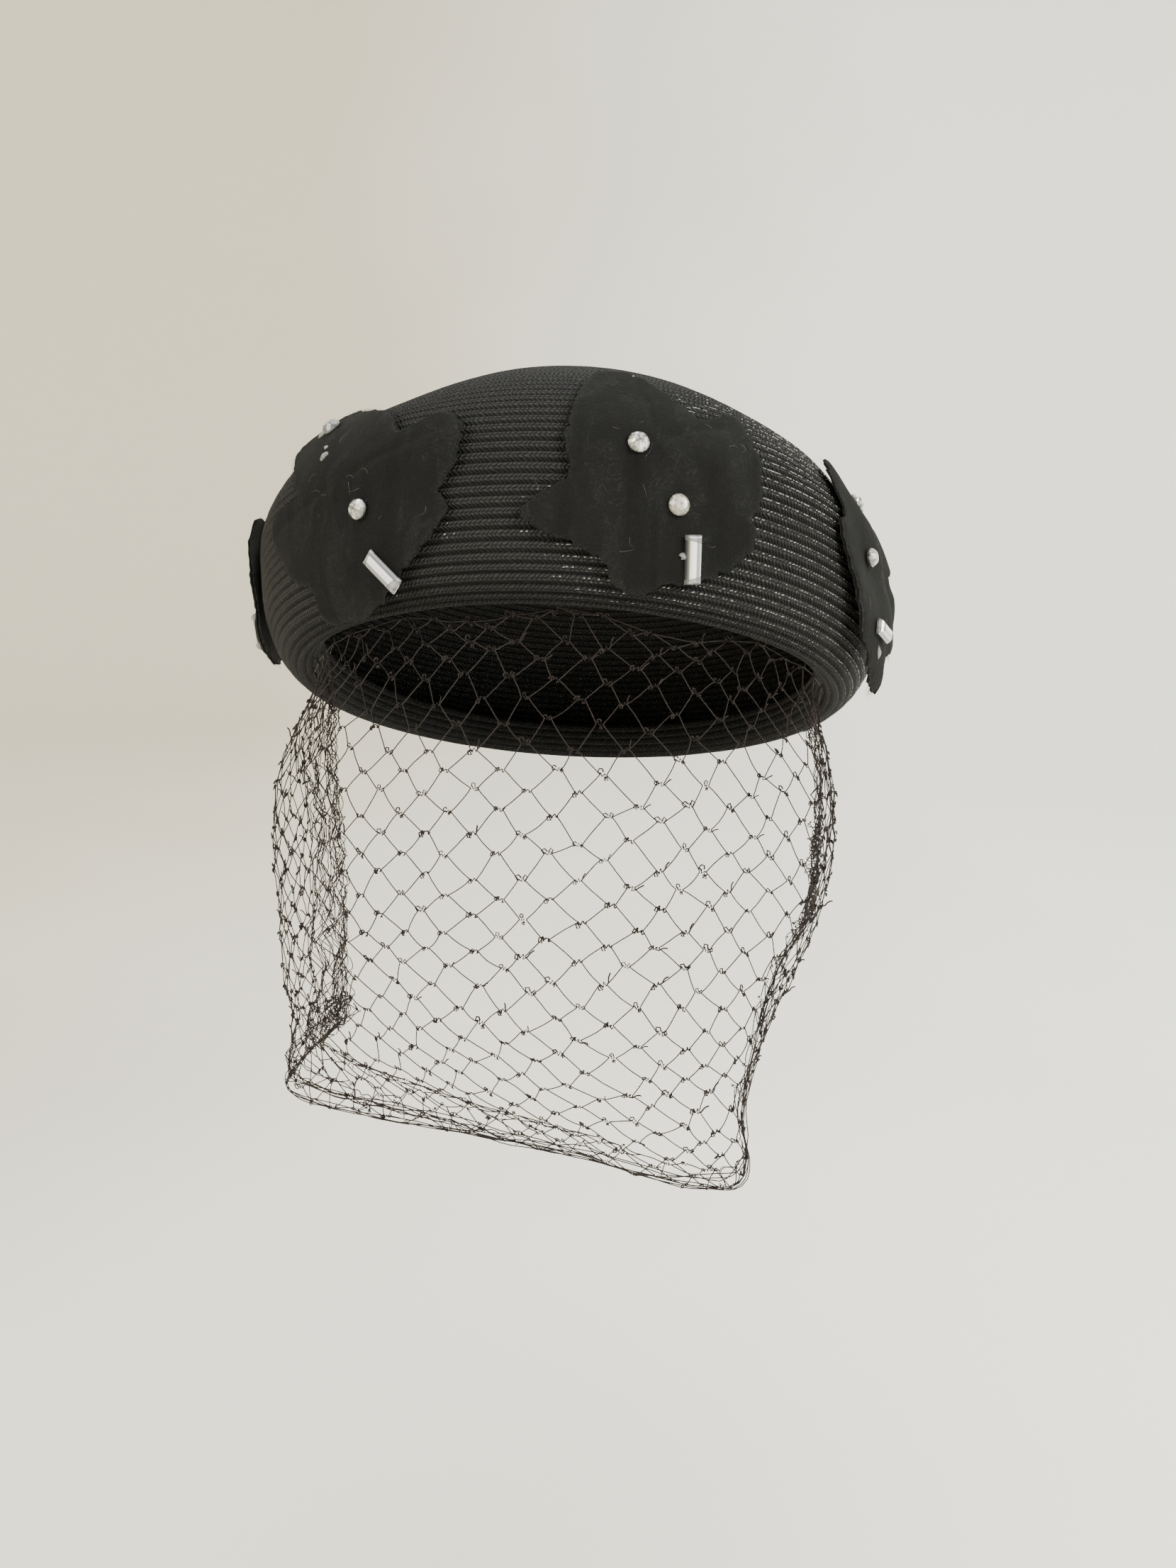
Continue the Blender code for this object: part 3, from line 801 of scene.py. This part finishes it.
def foilMaterial(name, bright, dark, metal):
    # a foiled back seen through cut glass: bright and dim sectors round the table as painted
    # reflections of the facets, with painted shade at the centre and the rim
    material, g, out = newMaterial(name, Roughness=0.06, Metallic=metal, Coat_Weight=1.0,
                                   Coat_Roughness=0.02)
    x, y = g.lay()
    sectors = 16
    turn = y.do("ARCTAN2", x) * (sectors / math.tau) + 40.0
    where = g.onPiece()
    drift = g.noise(where, 60.0, 0.0)
    ring = (x * x + y * y).do("SQRT")
    key = turn.do("FLOOR") + (ring * 2.6).do("FLOOR") * 31.0 + (drift * 9.0).do("FLOOR") * 7.0
    pick = g.chance(key)
    # painted reflections: each sector bright or dim at random
    facets = g.blend(pick ** 1.7, dark, bright)
    # painted shade: the centre of the table and the rim darkened
    paintedCentreAndRimShade = (ring < 0.15) * 0.85 + (ring > 0.90) * 0.6
    g.feed(out["Base Color"], g.blend(paintedCentreAndRimShade, facets, (0.10, 0.10, 0.095)))
    g.feed(out["Normal"], g.bump(0.35, 0.0004, pick))
    return material


def barMaterial():
    # the long steps of a baguette over its foil, as painted reflections: long bright and dark
    # stripes, and darker ends as painted shade
    material, g, out = newMaterial("foiled_baguette", Roughness=0.05, Metallic=0.35,
                                   Coat_Weight=1.0, Coat_Roughness=0.02)
    x, y = g.lay()
    # painted reflections and shade: bright and dark stripes across the width for the steps
    paintedStepReflections = g.add("ShaderNodeValToRGB", {"stops": (
        (0.00, 0.04), (0.14, 0.16), (0.20, 0.94), (0.52, 1.00), (0.56, 0.28), (0.76, 0.36),
        (0.82, 0.90), (0.90, 0.06))}, {0: x * 0.5 + 0.5})
    slope = y.do("ABSOLUTE") * 2.75 - 1.75 + x * 0.25
    # painted shade: the ends darker
    tip = (slope > 0.20) * 0.85
    g.feed(out["Base Color"], g.blend(tip, paintedStepReflections, (0.16, 0.16, 0.15)))
    return material


foil = foilMaterial("foiled_stone", (0.96, 0.96, 0.90), (0.15, 0.15, 0.135), 0.55)
aged = foilMaterial("yellowed_stone", (0.36, 0.33, 0.26), (0.24, 0.22, 0.17), 0.1)
dull = foilMaterial("stone_without_foil", (0.16, 0.17, 0.17), (0.06, 0.065, 0.065), 0.0)
barFoil = barMaterial()
wornFoils = {"leaf_7_round_upper": dull, "leaf_1_round_lower": aged,
             "leaf_4_round_upper": aged, "leaf_6_round_lower": dull}


def addStone(name, rings, faces, place, size, material):
    local = np.concatenate(rings)
    corners = [corner for face in faces for corner in face]
    piece = addMesh(f"{name}_cut", local, faces, [material], local[corners, :2] / size)
    piece.data.transform(place)
    shell = bmesh.new()
    shell.from_mesh(piece.data)
    bmesh.ops.recalc_face_normals(shell, faces=shell.faces)
    shell.to_mesh(piece.data)
    shell.free()
    piece.data.shade_flat()
    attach(piece, "root")
    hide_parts(name)
    return piece


def roundStone(name, place):
    # a brilliant top: eight kites, eight stars, sixteen girdle facets and a table
    radius, rise = stones["roundWidth"] / 2, stones["roundHeight"] - stones["girdle"]
    rings = []
    for count, reach, low, high, shift in stones["roundCut"]:
        height = stones["girdle"] * low + rise * high
        turns = [math.tau * (i + shift) / count for i in range(count)]
        rings.append([(radius * reach * math.cos(a), radius * reach * math.sin(a), height)
                      for a in turns])
    faces = [tuple(range(16))]
    for low in (0, 16):
        faces += outwardBand(low, low + 16, 16)
    girdle, middle, table = 32, 48, 56
    for i in range(8):
        star, other = middle + i, middle + (i - 1) % 8
        faces.append((table + i, other, girdle + 2 * i, star))
        faces.append((table + i, star, table + (i + 1) % 8))
        faces.append((star, girdle + 2 * i, girdle + 2 * i + 1))
        faces.append((star, girdle + 2 * i + 1, girdle + (2 * i + 2) % 16))
    faces.append(tuple(table + i for i in range(8)))
    material = wornFoils.get(name, foil)
    return addStone(name, rings, faces, place, radius, material)


def barStone(name, place, point):
    rise = stones["barHeight"] - stones["girdle"]
    rings = []
    for inset, low, high in stones["barCut"]:
        height = stones["girdle"] * low + rise * high
        x = stones["barWidth"] * (0.5 - inset)
        y = stones["barLength"] / 2 - stones["barWidth"] * inset
        rings.append([(x, y, height), (-x, y, height), (-x, -y, height), (x, -y, height)])
    faces = [(0, 1, 2, 3)]
    for low in range(0, 4 * (len(rings) - 1), 4):
        faces += outwardBand(low, low + 4, 4)
    last = 4 * (len(rings) - 1)
    faces.append(tuple(last + i for i in range(4)))
    turned = place @ Matrix.Rotation(-math.radians(point), 4, "Z")
    half = np.array([stones["barWidth"] / 2, stones["barLength"] / 2])
    return addStone(name, rings, faces, turned, half, barFoil)


for leafName, places in stones["places"].items():
    for part, (across, up, *point) in zip(("round_upper", "round_lower", "baguette"), places):
        place = stoneFrame(leafName, across * leaves["reach"], up * leaves["reach"])
        cut = barStone if point else roundStone
        cut(f"{leafName}_{part}", place, *point)
print("stones cut")

# Dried glue: leaf, place in its pattern, width, height
glue = {"rings": 4, "sides": 10, "ragged": 0.28, "spots": (
                  ("leaf_7", -0.27, 0.30, 0.0028, 0.0007), ("leaf_7", -0.30, 0.38, 0.0014, 0.0005),
                  ("leaf_7", -0.54, 0.62, 0.0045, 0.0005),
                  ("leaf_1", 0.26, -0.53, 0.0024, 0.0011), ("leaf_1", -0.10, 0.78, 0.0014, 0.0004),
                  ("leaf_2", -0.16, 0.58, 0.0020, 0.0007), ("leaf_2", -0.20, -0.66, 0.0030, 0.0006),
                  ("leaf_3", 0.28, -0.40, 0.0020, 0.0007), ("leaf_4", 0.05, -0.20, 0.0022, 0.0006),
                  ("leaf_5", -0.02, 0.24, 0.0020, 0.0006), ("leaf_6", -0.08, -0.46, 0.0026, 0.0007))}


def buildGlue():
    material, g, out = newMaterial("dried_glue", Roughness=0.25, Alpha=0.9)
    where = g.onPiece()
    film = g.noise(where, 700.0, 2.0)
    g.feed(out["Base Color"], g.blend(film, (0.06, 0.062, 0.062), (0.26, 0.265, 0.26)))
    points, faces = [], []
    rings, sides = glue["rings"], glue["sides"]
    for number, (name, across, up, width, height) in enumerate(glue["spots"]):
        rng = np.random.default_rng(number)
        ragged = 1 + glue["ragged"] * rng.normal(size=sides)
        first = len(points)
        spot = [(0.0, 0.0, height)]
        for ring in range(1, rings + 1):
            t = ring / rings
            for k in range(sides):
                a = math.tau * k / sides
                reach = width / 2 * t * (1 + (ragged[k] - 1) * t)
                spot.append((reach * math.cos(a), reach * math.sin(a) * 0.8,
                             height * (1 - t ** 2)))
        spot.append((0.0, 0.0, -0.0002))
        spot = np.array(spot)
        flat = spot[:, :2] + np.array([across, up]) * leaves["reach"]
        points.extend(leafPoint(name, *flat.T, extra=leafRise(name, flat) + spot[:, 2]))
        shell = fan(sides)
        for ring in range(rings - 1):
            shell += inwardBand(1 + ring * sides, 1 + (ring + 1) * sides, sides)
        last = 1 + (rings - 1) * sides
        shell += [(len(spot) - 1, last + (k + 1) % sides, last + k) for k in range(sides)]
        if leaves["places"][name][4] < 0:
            shell = [tuple(reversed(face)) for face in shell]
        faces += [tuple(first + i for i in face) for face in shell]
    piece = addMesh("glue_spots", points, faces, [material])
    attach(piece, "root")


buildGlue()
print("glue dried")

# The net: knots a little over a centimetre apart, drifting to the viewer's right as it falls
net = {
    "fall": 0.1100,
    "thick": 0.0010,
    "gap": 0.0003,
    "tuck": 0.94,
    "clear": 0.0080,
    "depths": (0.16, 0.45, 0.74, 1.00),
    # turn, share of the fall, then across and back at each depth
    "folds": (
        (-97, 1.00, (-0.81, 0.11), (-0.78, 0.11), (-0.76, 0.11), (-0.74, 0.04)),
        (-80, 1.00, (-0.85, -0.13), (-0.83, -0.13), (-0.84, -0.16), (-0.82, -0.39)),
        (-56, 1.00, (-0.81, -0.50), (-0.80, -0.51), (-0.76, -0.48), (-0.56, -0.53)),
        (-30, 1.00, (-0.49, -0.77), (-0.46, -0.79), (-0.39, -0.71), (-0.26, -0.60)),
        (-3, 1.00, (-0.02, -0.88), (0.00, -0.92), (0.03, -0.86), (0.05, -0.67)),
        (25, 1.00, (0.46, -0.80), (0.43, -0.85), (0.42, -0.87), (0.54, -0.80)),
        (50, 0.90, (0.74, -0.59), (0.73, -0.62), (0.63, -0.62), (0.58, -0.57)),
        (72, 0.66, (0.81, -0.29), (0.82, -0.31), (0.78, -0.33), (0.69, -0.33)),
        (92, 0.59, (0.83, 0.05), (0.85, 0.04), (0.86, 0.02), (0.86, 0.00)),
    ),
    "cell": 0.0124,             # from knot to knot along a row
    "drop": 0.00490,            # from one row of knots to the next
    "rows": 36,
    "gather": (0.075, 0.040),   # shares of the width where columns bunch, left and right
    "bunch": 0.24,              # their spacing there, as a share of the even one
    "hem": 0.0050,              # length over which rows bunch into a cord at the hem
    "hemPull": 0.85,            # how closely they bunch there
    "hemTurn": 0.0040,          # length over which the turned-up layer falls back
    "swagSoft": 0.0012,         # softness of the swags' lower edge
    "swagRows": 0.10,           # share of their spacing that rows keep above it
    "swagFade": 0.0040,         # length over which the first rows are let down
    # what is left over goes this far up again, at shares of the width
    "turnUp": ((0.0, 0.006), (0.05, 0.014), (0.12, 0.022), (0.35, 0.015), (0.62, 0.006),
               (0.9, 0.004)),
    "pile": 2.2,                # rows that would lie deeper than this in the fold are cut
    "hemDepth": 0.0045,         # how far behind the front the turned-up layer hangs
    "strand": 0.00014,          # radius
    "kink": 0.00032,            # how far a strand bends off its way
    "knot": 0.0027,             # length of a knot's bar
    "coil": 0.00036,            # radius of the coil round it
    "loop": 0.00058,            # radius of the open loop at its first end
    "lastLoop": 0.00052,        # and at its other end
    "drift": (0.10, 0.25),      # how far columns and rows wander together
    "scatter": (0.045, 0.12),   # and each knot by itself
    "loose": 0.00025,           # how far knots stand off the surface
    "looseEdge": 0.0011,        # more where the columns bunch
    "looseHem": 0.0005,         # and more in the hem
    "edgeFade": 0.02,           # share of the width over which that grows
    "hemReach": 0.0015,
    "slack": 0.00014,           # how far a strand's middle strays
    "sag": 0.00010,
    "bow": 0.12,                # how much of the surface's curve a strand follows
    "parts": 5,                 # steps of a strand from knot to knot
    "cordPoints": 90,
    "cordWaves": ((24, 1.0), (80, 0.4)),    # radians along a cord, and share of its spread
    # twisted cords of loose strands: from and to in shares round and down, strands, spread
    "cords": (((0.0, 1.0), (1.0, 1.0), 4, 0.0007), ((0.0, 0.955), (1.0, 0.985), 3, 0.0015),
              ((0.0, 0.02), (0.0, 1.0), 8, 0.0024),
              ((0.06, 0.05), (0.02, 0.97), 3, 0.0022), ((1.0, 0.56), (1.0, 1.0), 6, 0.0018),
              ((1.0, 0.02), (1.0, 0.60), 2, 0.0007), ((0.96, 0.56), (0.99, 0.98), 3, 0.0020),
              ((0.0, 0.93), (0.42, 0.985), 3, 0.0011), ((0.02, 0.86), (0.30, 0.955), 2, 0.0013)),
    # places of the tacks along the rim, as shares, and the drop of the swags between them
    "tacks": (0.00, 0.08, 0.17, 0.26, 0.365, 0.515, 0.705, 0.80, 0.90, 1.00),
    "swags": (0.002, 0.002, 0.002, 0.003, 0.0072, 0.0076, 0.003, 0.002, 0.002),
}


def veilLines():
    lines = []
    for turn, fall, *places in net["folds"]:
        sewn = crownPoint(turn, net["tuck"], net["gap"] + net["thick"] / 2)[0]
        line = [sewn, sewn - np.array([0, 0, net["clear"]])]
        for depth, (across, back) in zip(net["depths"], places):
            line.append(np.array([across * crown["width"] / 2, back * crown["length"] / 2,
                                  -depth * fall * net["fall"]]))
        lines.append(np.array(line))
    return lines


veilFalls = veilLines()
surface = {"round": 121, "down": 101}


def veilTable():
    # the veil's surface read once at even shares, so that thousands of points can look it up
    downs = np.linspace(0, 1, surface["down"])
    lines = np.array([smoothPath(line, downs) for line in veilFalls])
    rounds = np.linspace(0, 1, surface["round"])
    return np.array([smoothPath(lines[:, k], rounds) for k in range(surface["down"])])


veilGrid = veilTable()
lineLengths = np.linalg.norm(np.diff(veilGrid, axis=0), axis=2).sum(axis=0)
rowLengths = np.linalg.norm(np.diff(veilGrid, axis=1), axis=2).sum(axis=1)
netWidth = rowLengths[surface["down"] // 2]


def readGrid(roundShare, downShare):
    a = np.clip(downShare, 0, 1) * (surface["down"] - 1)
    b = np.clip(roundShare, 0, 1) * (surface["round"] - 1)
    i = np.minimum(a.astype(int), surface["down"] - 2)
    j = np.minimum(b.astype(int), surface["round"] - 2)
    s, t = (a - i)[:, None], (b - j)[:, None]
    return ((veilGrid[i, j] * (1 - s) + veilGrid[i + 1, j] * s) * (1 - t)
            + (veilGrid[i, j + 1] * (1 - s) + veilGrid[i + 1, j + 1] * s) * t)


def gatherColumns():
    # columns of knots in the left gather, the open middle and the right gather
    width = netWidth / net["cell"]
    left, right = (margin * width / net["bunch"] for margin in net["gather"])
    return left, width * (1 - sum(net["gather"])), right


def evenShare(column):
    # share of the width for a column of knots, closer together at both gathered edges
    left, middle, right = gatherColumns()
    place = np.clip(column, 0, left + middle + right)
    return (np.minimum(place, left) * net["bunch"] + np.clip(place - left, 0, middle)
            + np.maximum(place - left - middle, 0) * net["bunch"]) * net["cell"] / netWidth


def swagDrop(roundShare):
    tacks, drops = np.array(net["tacks"]), np.array(net["swags"])
    k = np.clip(np.searchsorted(tacks, roundShare, side="right") - 1, 0, len(drops) - 1)
    t = np.clip((roundShare - tacks[k]) / (tacks[k + 1] - tacks[k]), 0, 1)
    return drops[k] * np.sin(math.pi * t) ** 0.55


def netPoint(column, row):
    # a place in the net, counted in columns and rows of knots, in metres on the hat
    roundShare = evenShare(column)
    fallen = row * net["drop"]
    length = np.interp(roundShare, np.linspace(0, 1, surface["round"]), lineLengths)
    top = swagDrop(roundShare)
    soft = net["swagSoft"]
    lower = np.logaddexp(fallen / soft, (top + net["swagRows"] * fallen) / soft) * soft
    lower = lower - soft * math.log(2) * np.exp(-fallen / net["swagFade"])
    past = lower - length
    turnUp = np.interp(roundShare, *zip(*net["turnUp"]))
    pile = past / turnUp
    past = np.where(past > 0, turnUp * np.tanh(pile), past)
    past = past * (1 - net["hemPull"] * np.exp(-(past / net["hem"]) ** 2))
    point = readGrid(roundShare, 1 - np.abs(past) / length)
    # what is left over is turned up behind the hem
    depth = net["hemDepth"] * np.clip(past / net["hemTurn"], 0, 1)
    inward = point * np.array([-1.0, -1.0, 0.0])
    return point + unit(inward) * depth[:, None], roundShare, past, pile


def netNormal(column, row):
    step = 0.15
    across = netPoint(column + step, row)[0] - netPoint(column - step, row)[0]
    along = netPoint(column, row - step)[0] - netPoint(column, row + step)[0]
    across = unit(across + np.array([1e-9, 0, 0]))
    return across, unit(np.cross(across, unit(along + np.array([0, 0, 1e-9]))))


def netMaterial():
    material, g, out = newMaterial("brown_net", Specular_IOR_Level=0.20)
    where = g.onPiece()
    twist = g.noise(where, 1400.0, 1.0)
    patch = g.noise(where, 40.0, 1.0)
    shade = g.blend(patch, (0.0100, 0.0082, 0.0078), (0.0240, 0.0140, 0.0115))
    g.feed(out["Base Color"], g.blend(twist * 0.6, shade, (0.006, 0.005, 0.005)))
    g.feed(out["Roughness"], 0.42 + twist * 0.3)
    g.feed(out["Normal"], g.bump(0.6, 0.0001, twist))
    return material


def strandTree():
    g, given = newTree("netStrands", {"Radius": "Float", "Kink": "Float", "Net": "Material"})
    curves = g.add("GeometryNodeMeshToCurve", None, {"Mesh": given["Geometry"]})
    where = g.add("GeometryNodeInputPosition")
    noise = g.noise(where, 260.0, 1.0, out=1)
    centred = g.add("ShaderNodeVectorMath", {"operation": "SUBTRACT"},
                    {0: noise, 1: (0.5, 0.5, 0.5)})
    tubes = g.tube(g.move(curves, centred, given["Kink"]), 5, given["Radius"])
    return endTree(g, tubes, given["Net"])


def knotTree():
    g, given = newTree("netKnots", {"Knots": "Collection", "Seed": "Int", "Net": "Material"})
    knots = g.add("GeometryNodeCollectionInfo", None,
                  {"Collection": given["Knots"], "Separate Children": True,
                   "Reset Children": True})
    lie = g.attribute("lie", "FLOAT_VECTOR")
    face = g.attribute("face", "FLOAT_VECTOR")
    turned = g.add("FunctionNodeAlignRotationToVector", {"axis": "X"}, {"Vector": lie})
    facing = g.add("FunctionNodeAlignRotationToVector", {"axis": "Z", "pivot_axis": "X"},
                   {"Rotation": turned, "Vector": face})
    lean = g.add("FunctionNodeRandomValue", {"data_type": "FLOAT_VECTOR"},
                 {0: (-0.5, -0.3, -0.75), 1: (0.5, 0.3, 0.35), "Seed": given["Seed"]})
    leaning = g.add("FunctionNodeRotateRotation", {"rotation_space": "LOCAL"},
                    {0: facing, 1: g.add("FunctionNodeEulerToRotation", None, {0: lean})})
    pick = g.add("FunctionNodeRandomValue", {"data_type": "INT"},
                 {4: 0, 5: 3, "Seed": given["Seed"]}, 2)
    size = g.add("FunctionNodeRandomValue", None, {2: 0.8, 3: 1.2, "Seed": given["Seed"]}, 1)
    placed = g.add("GeometryNodeInstanceOnPoints", None,
                   {"Points": given["Geometry"], "Instance": knots, "Pick Instance": True,
                    "Instance Index": pick, "Rotation": leaning,
                    "Scale": size * g.attribute("bulk")})
    return endTree(g, placed, given["Net"])


def knotThread(name, loops, tail, seed):
    # one knot: a tight coil with small open loops at its ends, as a thin three-sided tube
    rng = np.random.default_rng(seed)
    half = net["knot"] / 2

    def openLoop(turns, x, y, radius):
        return [(x + radius * math.cos(a), y + radius * math.sin(a), 0.0002)
                for a in turns * math.pi]

    path = []
    if loops[0]:
        path += openLoop(np.linspace(0.0, 1.7, 5), -half * 0.60, loops[0] * 0.00055, net["loop"])
    for t in np.linspace(0, 1, 6 if loops[1] or tail else 9):
        swell = net["coil"] * (0.6 + 0.7 * math.sin(math.pi * t))
        path.append((half * (1.5 * t - 0.75), swell * math.sin(4.3 * math.pi * t),
                     swell * math.cos(4.3 * math.pi * t)))
    if loops[1]:
        path += openLoop(np.linspace(-0.6, 1.1, 4), half * 0.60, loops[1] * net["lastLoop"],
                         net["lastLoop"])
    elif tail:
        path += [(half * 0.8 + 0.0005 * t, 0.0008 + 0.0008 * t, 0.0004 * t)
                 for t in (0.4, 1.0, 1.5)]
    path = np.array(path) + rng.normal(0, 0.00005, (len(path), 3))
    ways = unit(np.gradient(path, axis=0))
    side = unit(np.cross(ways, np.array([0.13, 0.21, 0.97])))
    other = np.cross(ways, side)
    points, faces = [], []
    for k in range(len(path)):
        for corner in range(3):
            a = math.tau * corner / 3
            points.append(path[k] + net["strand"] * 1.35
                          * (math.cos(a) * side[k] + math.sin(a) * other[k]))
    for low in range(0, 3 * (len(path) - 1), 3):
        faces += outwardBand(low, low + 3, 3)
    faces.append((2, 1, 0))
    faces.append(tuple(len(points) - 3 + i for i in range(3)))
    return addMesh(name, points, faces, [])


def cordPaths():
    # loose strands that run along the gathered edges, wandering round each other
    for number, (start, end, count, spread) in enumerate(net["cords"]):
        t = np.linspace(0, 1, net["cordPoints"])
        middle = readGrid(start[0] + t * (end[0] - start[0]), start[1] + t * (end[1] - start[1]))
        for strand in range(count):
            seeds = (100 * number + 10 * strand, 900 + 10 * strand)
            drift = np.stack([sum(share * wave(t[:, None], scale, seed + k)
                                  for (scale, share), seed in zip(net["cordWaves"], seeds))
                              for k in range(3)], 1)
            yield middle + drift * spread


def buildNet():
    columns = math.ceil(sum(gatherColumns()))
    rows = net["rows"]
    knots = [(place + 0.5 * (row % 2), row) for row in range(rows + 1)
             for place in range(columns + 1 - row % 2)]
    index = {knot: k for k, knot in enumerate(knots)}
    column, row = np.array(knots).T
    stray = np.random.default_rng(11)
    places = np.stack([column, row], 1)
    column, row = (value + drift * wave(places, 0.9, seed) + stray.normal(0, scatter, len(knots))
                   for value, drift, scatter, seed in zip(
                       (column, row), net["drift"], net["scatter"], (5, 6)))
    row = np.clip(row, 0, rows)
    point, roundShare, past, pile = netPoint(column, row)
    kept = pile < net["pile"]
    lie, face = netNormal(column, row)
    edge = np.clip(np.maximum(net["gather"][0] - roundShare,
                              roundShare - 1 + net["gather"][1]) / net["edgeFade"], 0, 1)
    hem = np.clip(1 - np.abs(past) / net["hemReach"], 0, 1)
    loose = stray.normal(0, 1, (len(knots), 3)) * (
        net["loose"] + net["looseEdge"] * edge + net["looseHem"] * hem)[:, None]
    point = point + loose * np.array([1, 1, 0.5])
    # strands between neighbouring knots, each with its own slack
    pairs = []
    for (c, r), k in index.items():
        beside = [(c + 1, r)] if r in (0, rows) else []
        pairs += [(k, index[other]) for other in [(c - 0.5, r + 1), (c + 0.5, r + 1), *beside]
                  if other in index]
    pairs = np.array([pair for pair in pairs if kept[list(pair)].all()])
    parts = net["parts"]
    slack = stray.normal(0, 1, (len(pairs), 3)) * net["slack"]
    slack[:, 2] -= net["sag"]
    half = net["knot"] * 0.30
    one, two = pairs.T
    ends = []
    for here, there in ((one, two), (two, one)):
        start, end = point[here], point[there]
        reach = np.sign(np.sum((end - start) * lie[here], axis=1, keepdims=True))
        short = np.minimum(half, 0.3 * np.linalg.norm(end - start, axis=1, keepdims=True))
        ends.append(start + reach * short * lie[here])
    middle = netPoint((column[one] + column[two]) / 2, (row[one] + row[two]) / 2)[0]
    sway = slack + (middle - (point[one] + point[two]) / 2) * net["bow"]
    paths = np.stack([ends[0] * (1 - t) + ends[1] * t + 4 * t * (1 - t) * sway
                      for t in np.arange(parts + 1) / parts], axis=1).reshape(-1, 3)
    cords = np.array(list(cordPaths()))
    edges = (chains(len(pairs), parts + 1)
             + chains(len(cords), net["cordPoints"], first=len(paths)))
    material = netMaterial()
    strands = addMesh("veil_strands", np.concatenate([paths, *cords]), [], [material], edges=edges)
    runTree(strands, strandTree(), {"Radius": net["strand"], "Kink": net["kink"], "Net": material})
    strands.data.shade_smooth()
    kinds = bpy.data.collections.new("knotKinds")
    for number, (loops, tail) in enumerate((((1, -1), False), ((-1, 0), False), ((-1, 0), True),
                                            ((1, 1), False))):
        kind = knotThread(f"knotKind{number}", loops, tail, number)
        scene.collection.objects.unlink(kind)
        kinds.objects.link(kind)
    ties = addMesh("veil_knots", point[kept], [], [material])
    addField(ties, "lie", lie[kept])
    addField(ties, "face", face[kept])
    addField(ties, "bulk", 1 - np.maximum(0.6 * edge, 0.3 * (past > 0))[kept])
    runTree(ties, knotTree(), {"Knots": kinds, "Seed": 3, "Net": material})
    ties.data.shade_smooth()
    for kind in list(kinds.objects):
        bpy.data.objects.remove(kind)
    bpy.data.collections.remove(kinds)
    for piece in (strands, ties):
        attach(piece, "root")
    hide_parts("veil_net")
    return strands, ties


netPieces = buildNet()
print("net knotted:", [len(piece.data.polygons) for piece in netPieces], "faces")

# The studio: a pale sweep all round, one soft light from the right and weak fills
studio = {"floor": -0.30, "flat": 1.5, "bend": 0.7, "wall": 1.9, "steps": 12, "sides": 72,
          "sky": 1.36}


def buildStudio():
    flat, bend, steps, sides = (studio[key] for key in ("flat", "bend", "steps", "sides"))
    profile = [(flat, 0.0)]
    for a in (math.radians(90 * k / steps) for k in range(1, steps + 1)):
        profile.append((flat + bend * math.sin(a), bend * (1 - math.cos(a))))
    profile.append((flat + bend, studio["wall"]))
    points = [(0, 0, studio["floor"])]
    for radius, height in profile:
        points += [(radius * math.cos(math.tau * i / sides), radius * math.sin(math.tau * i / sides),
                    studio["floor"] + height) for i in range(sides)]
    faces = fan(sides)
    for ring in range(len(profile) - 1):
        faces += inwardBand(1 + ring * sides, 1 + (ring + 1) * sides, sides)
    material, g, out = newMaterial("pale_sweep", Roughness=0.9)
    where = g.onPiece()
    cloud = g.noise(where, 2.2, 2.0)
    side, _ = g.split(where)
    # darker and warmer towards the left (lower x): painted shade for the light falling off there;
    # the cloudy mottling is the sweep's own tone
    shade = g.blend(side + 0.27 + cloud * 0.5, (0.66, 0.615, 0.49), (0.98, 0.98, 0.94))
    g.feed(out["Base Color"], shade)
    sweep = addMesh("sweep", points, faces, [material])
    world = bpy.data.worlds.new("studio")
    scene.world = world
    world.use_nodes = True
    sky = world.node_tree.nodes["Background"]
    sky.inputs[0].default_value = (1.0, 0.99, 0.95, 1)
    sky.inputs[1].default_value = studio["sky"]


def addLight(name, place, size, power, tint):
    light = bpy.data.lights.new(name, "AREA")
    light.size = size
    light.energy = power
    light.color = tint
    lamp = bpy.data.objects.new(name, light)
    lamp.location = place
    lamp.rotation_euler = (-Vector(place)).to_track_quat("-Z", "Y").to_euler()
    scene.collection.objects.link(lamp)


buildStudio()
addLight("window", (1.1, -0.9, 0.9), 0.6, 32, (1.0, 0.99, 0.96))
addLight("left_fill", (-1.2, -0.8, 0.5), 0.9, 21, (1.0, 0.99, 0.97))
addLight("ceiling", (0.1, 0.3, 1.5), 1.2, 16, (0.98, 0.99, 1.0))
print("studio lit")
